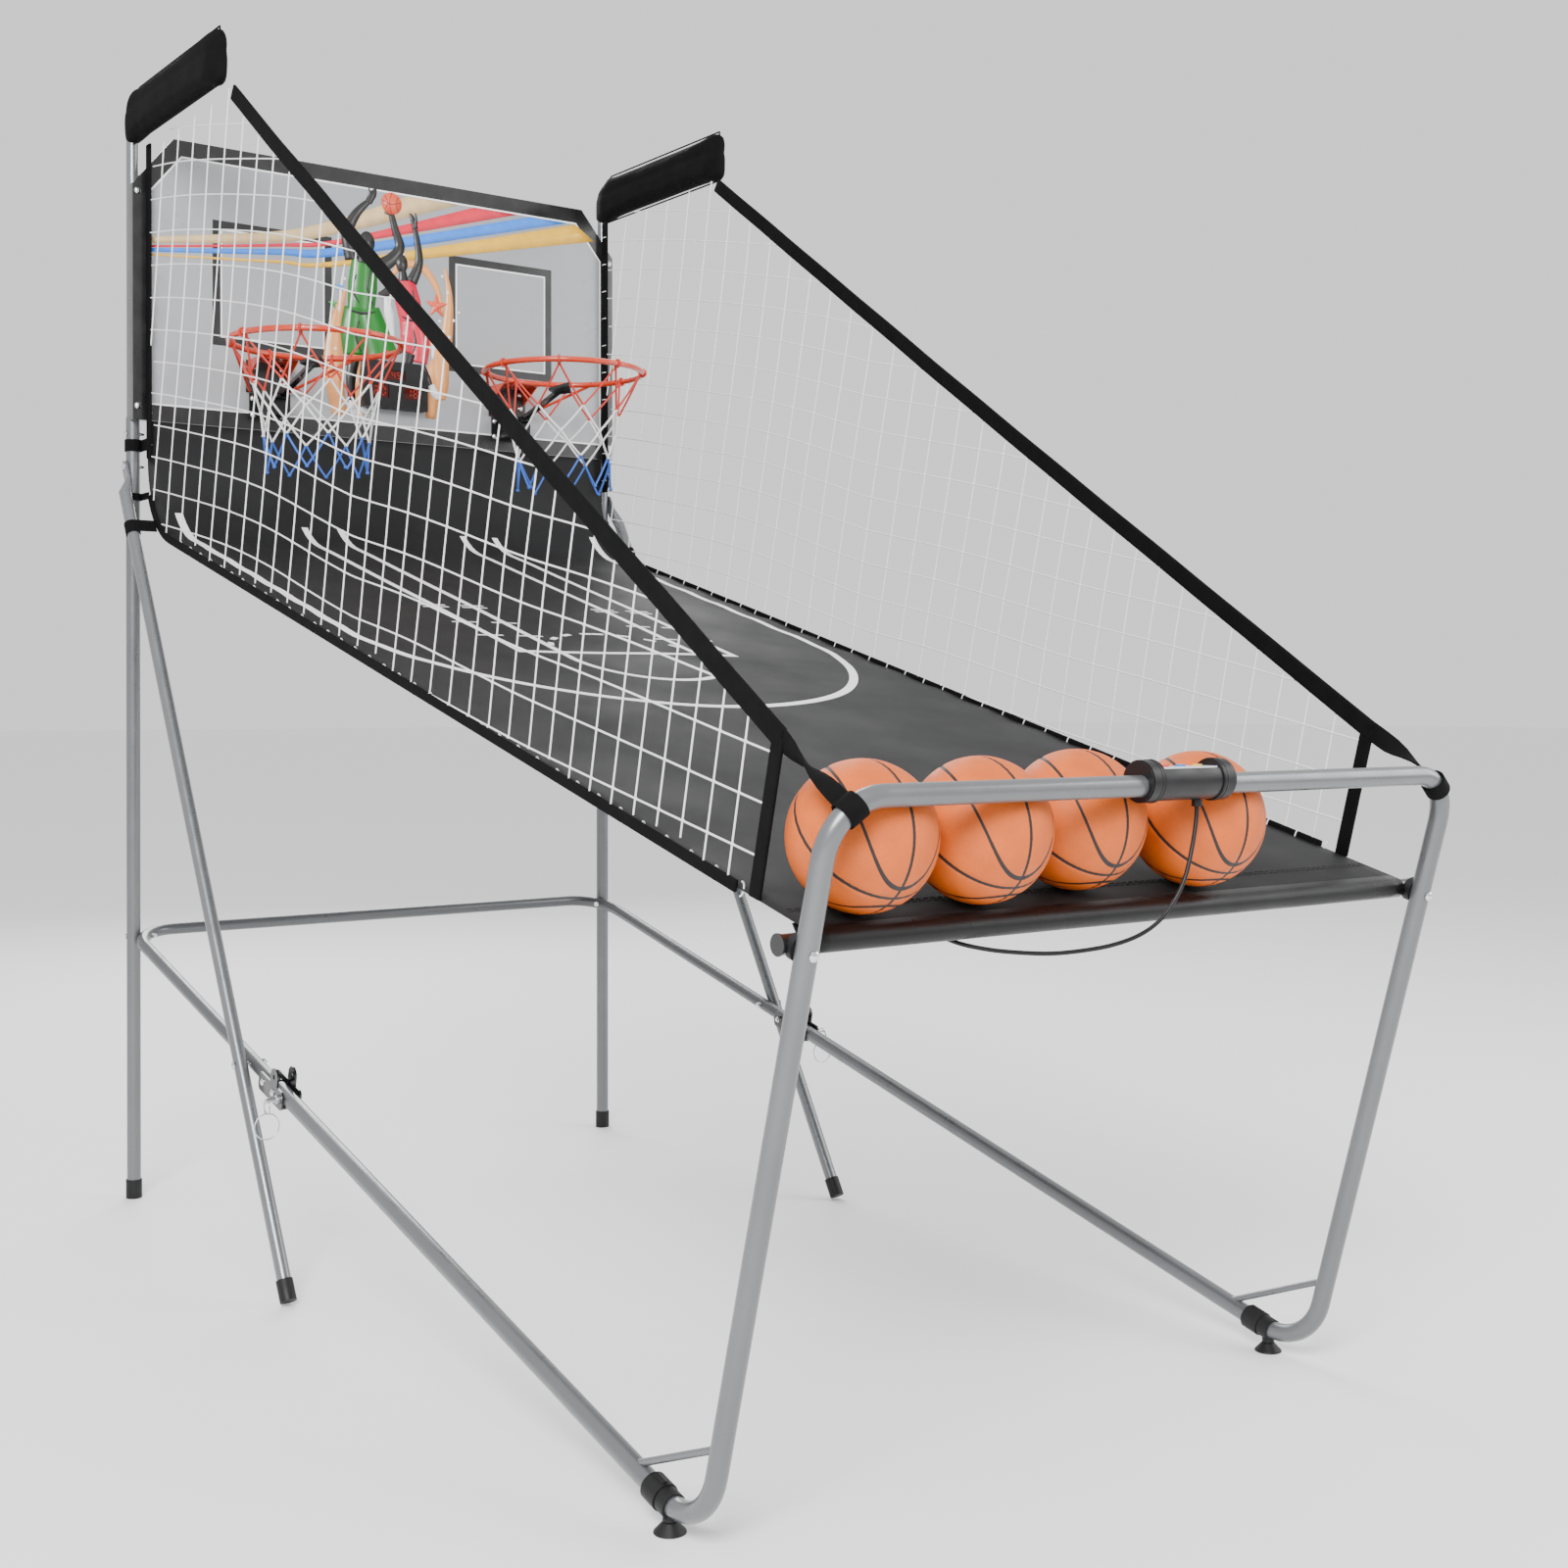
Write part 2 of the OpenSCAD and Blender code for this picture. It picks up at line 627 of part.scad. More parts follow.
module scoreboard_bezel() {
    color("#303236") centre() difference() {
        score_slab(board_front - score.y + 3, 3) score_outline(0);
        for (w = SCORE_WINDOWS) score_slab(board_front - score.y + 4, 5) translate([w.x, w.y]) square([w[2], w[3]]);
    }
}

module scoreboard_window() {
    color("#5b0f10") centre() score_slab(board_front - score.y + 5, 2) translate([-60, 14]) square([120, 64]);
}

module scoreboard_board() {
    color("#1f5d33") centre() {
        score_slab(board_front - 9, 1.6) translate([-60, 10]) square([120, 68]);
        for (w = SCORE_WINDOWS) score_slab(board_front - 10.5, score.y - 15.7) translate([w.x, w.y]) square([w[2], w[3]]);
        for (x = [-55, 49]) score_slab(board_front - 2, 7.1) translate([x, 12]) square([6, 6]);
    }
}

module battery_case() {
    color("#202124") centre() difference() {
        translate([-battery.x / 2, board_rear, battery_z]) cube([battery.x, battery.y - 2, battery.z]);
        translate([2 - battery.x / 2, board_rear + 2, battery_z + 2]) cube(battery - [4, 2, 4]);
        translate([cord_route[28].x, 0, battery_z - 1]) cylinder(h = 4, d = gland_d + 2 * fit);
        translate([0, board_rear + 3, score_z + 30]) rotate([90, 0, 0]) cylinder(h = 5, d = 12);
    }
}

module batteries() {
    color("#c2a24a") centre() for (i = [0:2]) translate([-10, board_rear + 9.5, battery_z + 14.8 + i * 16])
        rotate([0, 90, 0]) {
            translate([0, 0, -14]) cylinder(h = 49, d = 14.2);
            translate([0, 0, 35]) cylinder(h = 1.4, d = 5);
        }
}

module battery_lid() {
    color("#202124") centre() {
        translate([-battery.x / 2, board_rear + battery.y - 2, battery_z]) cube([battery.x, 2, battery.z]);
        translate([-10, board_rear + battery.y, battery_z + battery.z - 10]) cube([20, 1.5, 5]);
    }
}

// ---- fabric ----

module court() {
    upper = court_edge(-court_t / 2, court_start.y);
    lower = court_edge(court_t / 2, court_start.y);
    color("#38383a") centre() slab(-court_w / 2, court_w) difference() {
        union() {
            polygon(concat(upper, [for (i = [len(lower) - 1:-1:0]) lower[i]]));
            translate([lip_at.y, lip_at.z]) circle(hem_r + court_t);
        }
        translate([lip_at.y, lip_at.z]) circle(hem_r);
    }
}

module strap_ring(d, h) {
    difference() {
        cylinder(h = h, d = d + 4 + 2 * gap);
        translate([0, 0, -eps]) cylinder(h = h + 2 * eps, d = d + 2 * gap);
    }
}

module court_straps() {
    leg_z = 1240;
    leg_y = leg_dir.y / leg_dir.z * (leg_z - leg_top);
    leg_c = [leg_x, leg_y, leg_z];
    color("#161617") centre() for (s = [-1, 1]) side(s) {
        for (z = [[1390, 22], [1299, 13]]) translate([half_w, 0, z[0]]) {
            strap_ring(tube_d, z[1]);
            translate([-tube_r - 1.9, -48, 0]) cube([1.5, 48, z[1]]);
        }
        along(leg_c - leg_dir * 12, leg_c) {
            strap_ring(base_d, 24);
            translate([-base_d / 2 - 1.9, 0, 0]) cube([1.5, leg_x - net_x - 1.8, 24]);
        }
    }
}

module side_net(s) {
    edge = court_edge(0, strap_foot.x);
    rear_top = [net_rear, pad_bottom - 2];
    bottom = [for (i = [1:len(edge) - 1]) edge[i]];
    loop_x = handle_loop_x();
    to_strap = unit([0, strap_head.x - handle.y, strap_head.y - handle.z]);
    loop_top = [loop_x, handle.y, handle.z] + 14.6 * to_strap;
    color("#ededea") centre() side(s) {
        slab(net_x - net_t / 2, net_t) polygon(concat(
            [rear_top, [net_rear, court_bend_z]], bottom, [strap_head, net_front, [net_front.x + 10, rear_top.y]]));
        slab(net_x - sleeve_t / 2, sleeve_t) {
            polygon(band([[net_rear + 2, rear_top.y], [net_rear + 2, court_bend_z]], sleeve_w));
            polygon(band(edge_tail(edge), sleeve_w - 4));
            polygon(band([strap_foot, strap_head], sleeve_w));
            polygon(band([strap_head - [6, 4], net_front], sleeve_w));
        }
        along([net_x, strap_head.x, strap_head.y], loop_top) translate([-1, -8, -6])
            cube([2, 16, norm(loop_top - [net_x, strap_head.x, strap_head.y]) + 4]);
        translate([loop_x - 8, handle.y, handle.z]) rotate([0, 90, 0]) difference() {
            cylinder(h = 16, r = tube_r + 3.2);
            translate([0, 0, -eps]) cylinder(h = 16 + 2 * eps, r = tube_r + 0.4);
        }
    }
}

function handle_loop_x() = half_w - handle_r - 10;
function edge_tail(p) = [for (i = [1:len(p) - 1]) p[i]];

module wing_pad(s) {
    tip = -arm_len - 20;
    back = tube_r + 5;
    color("#141415") centre() side(s) difference() {
        slab(half_w - pad_t / 2, pad_t) {
            polygon([
                [back, pad_bottom], [back, arm_z - 8], [-40, pad_top], [tip + 12, pad_top - 2],
                [tip + 16, pad_top - 14], [tip, pad_bottom + 8], [tip + 6, pad_bottom]]);
        }
        run([[half_w, 0, pad_bottom - 5], [half_w, 0, arm_z], [half_w, -arm_len, arm_z]], arm_r, post_d + 2 * gap, 1);
    }
}

// ---- front frame ----

module handle_tube() {
    length = norm(handle - split_at);
    color("#7d8185") centre() difference() {
        in_plane(handle, upright_dir) difference() {
            union() {
                u_run(half_w, length, handle_r, tube_d);
                for (x = [-half_w, half_w]) rod([x, -length - spigot, 0], [x, -length + 5, 0], post_d);
            }
            difference() {
                u_run(half_w, length, handle_r, tube_d - 2 * tube_wall, eps);
                for (x = [-half_w, half_w]) rod([x, -length - spigot, 0], [x, -length + 5, 0], tube_d);
            }
            for (x = [-half_w, half_w])
                rod([x, -length - spigot - eps, 0], [x, -length + 6, 0], post_d - 2 * tube_wall);
        }
        for (s = [-1, 1]) side(s) bolt_hole(lip_seat, upright_back, 70);
    }
}

module front_leg(s) {
    brace_a = corner + 152 * rail_dir;
    brace_b = corner + 114 * upright_dir;
    color("#7d8185") centre() side(s) difference() {
        union() {
            pipe([hinge + 10 * rail_dir, corner, split_at], corner_r, tube_d, 0.04);
            difference() {
                rod(brace_a, brace_b, 9);
                run([hinge, corner, split_at], corner_r, tube_d - 1);
            }
        }
        bolt_hole(hinge, [1, 0, 0], 60);
        rod(lock_at - [30, 0, 0], lock_at + [30, 0, 0], pin_d + 2 * fit);
    }
}

module lip_bar() {
    end = half_w + lip_over;
    color("#1d1e20") centre() difference() {
        union() {
            pipe([[-end, lip_at.y, lip_at.z], [end, lip_at.y, lip_at.z]], 0, lip_d);
            for (x = [-end - 2, end]) translate([x, lip_at.y, lip_at.z]) rotate([0, 90, 0]) cylinder(h = 2, d = lip_d + 2);
        }
        for (s = [-1, 1]) side(s) bolt_hole(lip_seat, upright_back, 110);
    }
}

module lip_saddles() {
    color("#141415") centre() for (s = [-1, 1]) side(s) difference() {
        along(lip_seat + upright_back * (tube_r - 4), lip_at) translate([0, 0, 0]) cylinder(h = 10, d = 30);
        rod(upright_at(lip_z - 60), upright_at(lip_z + 60), tube_d + 2 * fit);
        rod([half_w - 40, lip_at.y, lip_at.z], [half_w + 40, lip_at.y, lip_at.z], lip_d + 2 * fit);
        bolt_hole(lip_seat, upright_back, 110);
    }
}

module lip_bolts() {
    color("#c9ccd0") centre() for (s = [-1, 1]) side(s)
        bolt(lip_seat - upright_back * tube_r, upright_back, tube_d + lip_d + 1);
}

module foot_clamps() {
    color("#161617") centre() for (s = [-1, 1]) side(s) difference() {
        union() {
            rod(foot_at - 8 * rail_dir, foot_at + 38 * rail_dir, clamp_d);
            rod(foot_at + 10 * rail_dir, foot_at + 36 * rail_dir, clamp_d + 3);
            translate([half_w, foot_at.y, boss_z]) cylinder(h = 12, d = 17);
            rod(foot_at + 14 * rail_dir + 14 * rail_up, foot_at + 32 * rail_dir + 14 * rail_up, 9);
        }
        run([hinge, corner, split_at], corner_r, tube_d + 2 * fit);
        translate([half_w, foot_at.y, 0]) cylinder(h = boss_z + 5, d = stud_d + 2 * fit);
    }
}

module suction_feet() {
    color("#101011") centre() for (s = [-1, 1]) side(s) translate([half_w, foot_at.y, 0]) {
        rotate_extrude() polygon([
            [cup_r - 3, 0], [cup_r, 0], [cup_r - 0.6, 1.6], [cup_r - 4, 5], [9, boss_z - 1.5], [6.5, boss_z - 0.1],
            [0, boss_z - 0.1], [0, 4.5], [8, 3.8], [cup_r - 6, 1.4]]);
        translate([0, 0, 5]) cylinder(h = boss_z - 1, d = stud_d);
    }
}

// ---- control box ----

module tube_bore(d) {
    translate([-200, handle.y, handle.z]) rotate([0, 90, 0]) cylinder(h = 400, d = d);
}

module box_shell() {
    color("#232426") centre() difference() {
        translate(box_at - [box_len / 2, 0, 0]) rotate([0, 90, 0]) cylinder(h = box_len, r = box_r);
        translate(box_at - [box_len / 2 - 2, 0, 0]) rotate([0, 90, 0]) cylinder(h = box_len - 4, r = box_r - 2.5);
        tube_bore(tube_d + 2 * fit);
        translate(box_at + [-box_len, -30, flat_z]) cube([2 * box_len, 60, 30]);
        translate([gland_x, box_at.y, box_at.z - box_r - 4]) cylinder(h = 8, d = gland_d + 2 * fit);
    }
}

module box_collars() {
    color("#1a1b1c") centre() for (s = [-1, 1]) side(s) difference() {
        translate(box_at + [box_len / 2, 0, 0]) rotate([0, 90, 0]) {
            cylinder(h = collar_len - 2, r = collar_r);
            translate([0, 0, collar_len - 2]) cylinder(h = 2, r = collar_r - 1);
        }
        tube_bore(tube_d + 2 * fit);
    }
}

module box_panel() {
    color("#e6ebf2") centre() difference() {
        translate(box_at + [1 - box_len / 2, -14, flat_z]) cube([box_len - 2, 28, 2]);
        for (x = button_x) translate(box_at + [x, 0, flat_z - 1]) cylinder(h = 5, d = button_d + 2 * gap);
    }
}

module box_board() {
    half = sqrt(pow(box_r - 2.5, 2) - pow(flat_z - 5, 2)) - 0.1;
    color("#1f5d33") centre() {
        translate(box_at + [-38, -half + 4, flat_z - 6]) cube([76, 2 * half - 4, 1]);
        for (x = [-38, 32]) translate(box_at + [x, 8, flat_z - 5]) cube([6, 4, 4.8]);
    }
}

module button(i) {
    low = flat_z - 6 + 1 + button_travel + 0.3;
    translate(box_at + [button_x[i], 0, 0]) {
        translate([0, 0, low]) cylinder(h = 1.2, d = button_d + 3);
        translate([0, 0, low]) cylinder(h = flat_z + 4 - low, d = button_d);
    }
}

module button_start() color("#c8322b") centre() button(0);
module button_mode() color("#2b62c4") centre() button(1);
module button_sound() color("#e3a21f") centre() button(2);

// ---- feet of the cord and the cord itself ----

module gland(at) {
    translate(at) difference() {
        union() {
            cylinder(h = 13, d = gland_d);
            cylinder(h = 7.6, d = gland_d + 3);
        }
        translate([0, 0, -eps]) cylinder(h = 15, d = cord_d + 1.6);
    }
}

module cord_gland_box() {
    color("#141415") centre() gland([gland_x, box_at.y, box_at.z - box_r - 8]);
}

module cord_gland_board() {
    color("#141415") centre() gland([cord_route[28].x, cord_route[28].y, battery_z - 8]);
}

// Smooth route through the hand-placed points
function hermite(a, b, ta, tb, t) =
    (2 * t * t * t - 3 * t * t + 1) * a + (t * t * t - 2 * t * t + t) * ta
    + (3 * t * t - 2 * t * t * t) * b + (t * t * t - t * t) * tb;
function tangent(p, i) = (p[min(i + 1, len(p) - 1)] - p[max(i - 1, 0)]) / 2;
function route_point(p, u) = let (i = min(floor(u), len(p) - 2))
    hermite(p[i], p[i + 1], tangent(p, i), tangent(p, i + 1), u - i);
function ring_points(p, d, n) = [for (k = [0:n]) let (
    u = k * (len(p) - 1) / n, c = route_point(p, u),
    t = unit(route_point(p, min(u + 0.02, len(p) - 1)) - route_point(p, max(u - 0.02, 0))),
    x = unit(cross(t, [0.31, 0.2, 0.93] - t * 0)), y = cross(t, x))
    for (a = [0:cord_sides - 1]) c + d / 2 * (cos(a * 360 / cord_sides) * x + sin(a * 360 / cord_sides) * y)];

module cord() {
    pts = ring_points(cord_route, cord_d, cord_rings);
    m = cord_sides;
    color("#0e0e0f") centre() polyhedron(pts, concat(
        [[for (a = [0:m - 1]) a]],
        [for (k = [0:cord_rings - 1], a = [0:m - 1]) let (b = (a + 1) % m)
            [k * m + a, (k + 1) * m + a, (k + 1) * m + b, k * m + b]],
        [[for (a = [m - 1:-1:0]) cord_rings * m + a]]));
}

module ball(i) {
    at = ball_at(i);
    color("#e07a2f") centre() translate([ball_x[i], at.y, at.z]) difference() {
        sphere(d = ball_d);
        sphere(d = ball_d - 2 * ball_wall);
    }
}

rear_upright(-1);  // rear_upright_left
rear_upright(1);  // rear_upright_right
top_post(-1);  // top_post_left
top_post(1);  // top_post_right
leg(-1);  // leg_left
leg(1);  // leg_right
foot_caps();
base_tube();
hinge_bracket(-1);  // hinge_bracket_left
hinge_bracket(1);  // hinge_bracket_right
frame_bolts();
backboard();
board_bolts();
rim(-1);  // rim_left
rim(1);  // rim_right
rim_net(-1);  // rim_net_left
rim_net(1);  // rim_net_right
sensor_housing(-1);  // sensor_housing_left
sensor_housing(1);  // sensor_housing_right
sensor_arm(-1);  // sensor_arm_left
sensor_arm(1);  // sensor_arm_right
sensor_springs();
sensor_switches();
scoreboard_case();
scoreboard_bezel();
scoreboard_window();
scoreboard_board();
battery_case();
batteries();
battery_lid();
court();
court_straps();
side_net(-1);  // side_net_left
side_net(1);  // side_net_right
wing_pad(-1);  // wing_pad_left
wing_pad(1);  // wing_pad_right
cord();
cord_gland_box();
cord_gland_board();
handle_tube();
front_leg(-1);  // front_leg_left
front_leg(1);  // front_leg_right
lip_bar();
lip_saddles();
lip_bolts();
foot_clamps();
suction_feet();
box_shell();
box_collars();
box_panel();
box_board();
button_start();
button_mode();
button_sound();
lock_pin(-1);  // lock_pin_left
lock_pin(1);  // lock_pin_right
ball(0);  // ball_a
ball(1);  // ball_b
ball(2);  // ball_c
ball(3);  // ball_d
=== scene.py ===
"""Looks for a folding two-hoop basketball machine: cloth court, nets, pads, printed board and finishes.

X runs to the player's right, Y from the player to the backboard and Z up, all in metres.
"""
import math

import bmesh
import bpy
from mathutils import Euler, Matrix, Vector, noise


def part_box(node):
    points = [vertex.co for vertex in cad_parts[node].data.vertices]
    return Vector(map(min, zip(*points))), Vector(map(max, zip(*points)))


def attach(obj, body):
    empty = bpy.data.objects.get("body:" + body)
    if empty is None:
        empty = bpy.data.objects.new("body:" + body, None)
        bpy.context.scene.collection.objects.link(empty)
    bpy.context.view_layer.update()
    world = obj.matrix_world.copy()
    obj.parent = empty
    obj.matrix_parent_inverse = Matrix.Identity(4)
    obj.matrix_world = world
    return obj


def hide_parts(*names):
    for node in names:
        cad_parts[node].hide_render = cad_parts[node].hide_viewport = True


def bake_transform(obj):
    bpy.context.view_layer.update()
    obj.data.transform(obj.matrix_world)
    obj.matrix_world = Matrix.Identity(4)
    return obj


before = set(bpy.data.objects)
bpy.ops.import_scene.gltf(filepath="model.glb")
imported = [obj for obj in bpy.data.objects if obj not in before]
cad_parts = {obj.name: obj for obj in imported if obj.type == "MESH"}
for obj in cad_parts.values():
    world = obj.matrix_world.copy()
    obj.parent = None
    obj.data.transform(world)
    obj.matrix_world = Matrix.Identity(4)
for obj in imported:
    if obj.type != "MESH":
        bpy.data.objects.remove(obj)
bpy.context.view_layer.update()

# Sizes shared with the frame
UPRIGHTS_Y = 1.05672
HALF_WIDTH = 0.509
TUBE_RADIUS = 0.0125
COURT_ANGLE = math.radians(15.44)
COURT_HALF = 0.490
COURT_THICK = 0.002
LIP_BAR = (UPRIGHTS_Y - 2.05, 0.678486)
LIP_HEM = 0.0113
COURT_START = (UPRIGHTS_Y - 2.05327, 0.690342)
COURT_REAR_Y = UPRIGHTS_Y - 0.026
COURT_BEND = 0.170
BOARD_FRONT = UPRIGHTS_Y - 0.028
BOARD_BOTTOM = 1.447
NET_X = 0.492
PAD_BOTTOM = 1.958
HOOP_X = 0.260
HOOP_Y = UPRIGHTS_Y - 0.266
HOOP_Z = 1.579
HOOP_RADIUS = 0.155
HANDLE = (UPRIGHTS_Y - 2.11695, 0.82982)
HANDLE_LEAN = math.radians(15.35)
HANDLE_BEND = 0.065
STRAP_FOOT = (UPRIGHTS_Y - 1.960, 0.7161)
STRAP_HEAD = (UPRIGHTS_Y - 2.003, 0.8891)
NET_FRONT = (UPRIGHTS_Y - 0.463, 1.946)
NET_REAR_Y = UPRIGHTS_Y - 0.042
BALL_RADIUS = 0.0825
DISPLAY_LOW = 1.510
HEM_RETURN = 0.12
NET_BEND_TOP = 1.375
WELD = 1e-6


# ---- camera ----

def add_camera():
    """Stands low at the player's left and looks nearly level across the machine."""
    data = bpy.data.cameras.new("camera")
    data.lens = 44.66
    data.sensor_width = 36
    data.shift_y = -0.0467
    camera = bpy.data.objects.new("camera", data)
    camera.location = (-1.6962, -2.5779, 0.9252)
    camera.rotation_euler = (math.radians(90 - 0.2785), 0, -math.radians(36.585))
    bpy.context.scene.collection.objects.link(camera)
    bpy.context.scene.camera = camera


# ---- finishes ----

class Finish:
    """A material under construction, with short calls for the nodes its patterns need."""

    def __init__(self, name, colour, roughness, metallic=0.0, **sockets):
        self.material = bpy.data.materials.new(name)
        self.material.use_nodes = True
        self.tree = self.material.node_tree
        self.shader = self.tree.nodes["Principled BSDF"]
        self.shader.inputs["Base Color"].default_value = (*colour, 1)
        self.shader.inputs["Roughness"].default_value = roughness
        self.shader.inputs["Metallic"].default_value = metallic
        for socket, value in sockets.items():
            self.shader.inputs[socket.replace("_", " ").title().replace("Ior", "IOR")].default_value = value
        self.bumps = None

    def node(self, kind, **settings):
        made = self.tree.nodes.new(kind)
        for key, value in settings.items():
            setattr(made, key, value)
        return made

    def link(self, a, b):
        self.tree.links.new(a, b)

    def place(self, centre=(0, 0, 0), turn=(0, 0, 0), scale=(1, 1, 1), uv=False):
        """The point in the object's or the cloth's own coordinates, from centre."""
        source = self.node("ShaderNodeTexCoord").outputs["UV" if uv else "Object"]
        if centre == (0, 0, 0) and turn == (0, 0, 0) and scale == (1, 1, 1):
            return source
        mapping = self.node("ShaderNodeMapping", vector_type="TEXTURE")
        mapping.inputs["Location"].default_value = centre
        mapping.inputs["Rotation"].default_value = turn
        mapping.inputs["Scale"].default_value = scale
        self.link(source, mapping.inputs["Vector"])
        return mapping.outputs["Vector"]

    def noise(self, scale, detail=3, where=None, rough=0.5):
        made = self.node("ShaderNodeTexNoise")
        made.inputs["Scale"].default_value = scale
        made.inputs["Detail"].default_value = detail
        made.inputs["Roughness"].default_value = rough
        self.link(where or self.place(), made.inputs["Vector"])
        return made.outputs["Fac"]

    def voronoi(self, scale, where=None, feature="F1", output="Distance"):
        made = self.node("ShaderNodeTexVoronoi", feature=feature)
        made.inputs["Scale"].default_value = scale
        self.link(where or self.place(), made.inputs["Vector"])
        return made.outputs[output]

    def wave(self, scale, direction="X", where=None, distortion=0.0):
        made = self.node("ShaderNodeTexWave", bands_direction=direction, wave_profile="SIN")
        made.inputs["Scale"].default_value = scale
        made.inputs["Distortion"].default_value = distortion
        self.link(where or self.place(), made.inputs["Vector"])
        return made.outputs["Fac"]

    def math(self, operation, a, b=0.0):
        made = self.node("ShaderNodeMath", operation=operation)
        for socket, value in zip(made.inputs, (a, b)):
            if isinstance(value, (int, float)):
                socket.default_value = value
            else:
                self.link(value, socket)
        return made.outputs[0]

    def ramp(self, value, low, high, a=0.0, b=1.0):
        made = self.node("ShaderNodeMapRange")
        for name, number in (("From Min", low), ("From Max", high), ("To Min", a), ("To Max", b)):
            made.inputs[name].default_value = number
        self.link(value, made.inputs["Value"])
        return made.outputs["Result"]

    def split(self, vector):
        made = self.node("ShaderNodeSeparateXYZ")
        self.link(vector, made.inputs[0])
        return made.outputs

    def mix(self, mask, a, b):
        """Colour a where mask is 0 and colour b where it is 1; each is a colour or a socket."""
        made = self.node("ShaderNodeMix", data_type="RGBA")
        self.link(mask, made.inputs["Factor"])
        for socket, value in ((made.inputs[6], a), (made.inputs[7], b)):
            if isinstance(value, tuple):
                socket.default_value = (*value, 1)
            else:
                self.link(value, socket)
        return made.outputs[2]

    def paint(self, socket):
        self.link(socket, self.shader.inputs["Base Color"])
        return self

    def shine(self, value, low, high):
        """Roughness from low to high as value goes from 0.3 to 0.7."""
        self.link(self.ramp(value, 0.3, 0.7, low, high), self.shader.inputs["Roughness"])
        return self

    def bump(self, height, strength, distance):
        made = self.node("ShaderNodeBump")
        made.inputs["Strength"].default_value = strength
        made.inputs["Distance"].default_value = distance
        self.link(height, made.inputs["Height"])
        if self.bumps is not None:
            self.link(self.bumps, made.inputs["Normal"])
        self.bumps = made.outputs["Normal"]
        self.link(self.bumps, self.shader.inputs["Normal"])
        return self


def shade(colour, k):
    return tuple(min(1.0, c * k) for c in colour)


def tube_paint(name, colour, roughness=0.3, metallic=0.5):
    """Satin metallic paint with fine flake, faint orange peel, and handling marks."""
    f = Finish(name, colour, roughness, metallic, coat_weight=0.25, coat_roughness=0.15)
    flake = f.voronoi(2600, output="Color")
    cloud = f.noise(9, 4)
    marks = f.ramp(f.noise(60, 6, rough=0.75), 0.63, 0.72)
    tone = f.mix(f.split(flake)[0], shade(colour, 0.93), shade(colour, 1.09))
    tone = f.mix(f.ramp(cloud, 0.3, 0.7), tone, shade(colour, 0.92))
    f.paint(f.mix(f.math("MULTIPLY", marks, 0.35), tone, shade(colour, 1.3)))
    f.shine(f.noise(26, 3), roughness - 0.05, roughness + 0.08)
    f.bump(f.noise(420, 2), 0.08, 0.0004)
    return f.material


def gloss_paint(name, colour, roughness=0.24):
    """Glossy powder coat with orange peel and small scuffs."""
    f = Finish(name, colour, roughness, 0.0, coat_weight=0.4, coat_roughness=0.12)
    scuff = f.ramp(f.noise(75, 6, rough=0.8), 0.64, 0.74)
    tone = f.mix(f.ramp(f.noise(14, 3), 0.3, 0.7), shade(colour, 0.88), shade(colour, 1.1))
    f.paint(f.mix(f.math("MULTIPLY", scuff, 0.3), tone, tuple(0.7 * c + 0.1 for c in colour)))
    f.shine(f.noise(30, 4), roughness - 0.05, roughness + 0.12)
    f.bump(f.noise(300, 2), 0.12, 0.0005)
    return f.material


def rim_paint():
    """Glossy red paint on the ring and its rods, with a black plate against the board."""
    red = (0.56, 0.035, 0.006)
    f = Finish("rim_red", red, 0.25, coat_weight=0.4, coat_roughness=0.12)
    scuff = f.ramp(f.noise(75, 6, rough=0.8), 0.62, 0.74)
    tone = f.mix(f.ramp(f.noise(14, 3), 0.3, 0.7), shade(red, 0.85), shade(red, 1.12))
    tone = f.mix(f.math("MULTIPLY", scuff, 0.35), tone, (0.62, 0.16, 0.07))
    plate = f.math("GREATER_THAN", f.split(f.place())[1], BOARD_FRONT - 0.0036)
    f.paint(f.mix(plate, tone, (0.012, 0.012, 0.013)))
    f.shine(f.noise(30, 4), 0.2, 0.36)
    f.bump(f.noise(300, 2), 0.12, 0.0005)
    return f.material


def bright_metal(name, colour, roughness, brushed=0.0):
    """Plated or turned steel with faint lathe lines and smudges."""
    f = Finish(name, colour, roughness, 1.0)
    f.paint(f.mix(f.ramp(f.noise(90, 4), 0.35, 0.7), shade(colour, 0.85), shade(colour, 1.05)))
    f.shine(f.noise(120, 4), roughness, roughness + 0.15)
    f.bump(f.noise(900, 2), 0.05 + brushed, 0.0002)
    return f.material


def moulded(name, colour, roughness=0.5, grain=900, depth=0.25):
    """Moulded plastic or rubber with a spark-eroded grain and slight gloss changes."""
    f = Finish(name, colour, roughness, specular_ior_level=0.3)
    f.paint(f.mix(f.ramp(f.noise(22, 4), 0.3, 0.7), shade(colour, 0.85), shade(colour, 1.2)))
    f.shine(f.noise(40, 3), roughness - 0.07, roughness + 0.1)
    f.bump(f.noise(grain, 3), depth, 0.0004)
    return f.material


def webbing(name, colour, pitch=0.0018, roughness=0.85):
    """Woven cloth seen close: crossed ribs with slubs, and a soft sheen."""
    f = Finish(name, colour, roughness, specular_ior_level=0.1)
    scale = 1 / (pitch * 2 * math.pi)
    warp = f.math("ADD", f.wave(scale, "Y"), f.wave(scale, "Z"))
    weave = f.math("ADD", warp, f.wave(scale, "X"))
    f.paint(f.mix(f.ramp(f.noise(35, 4), 0.3, 0.7), shade(colour, 0.8), shade(colour, 1.35)))
    f.bump(weave, 0.3, 0.0004)
    f.bump(f.noise(140, 3), 0.25, 0.0008)
    return f.material


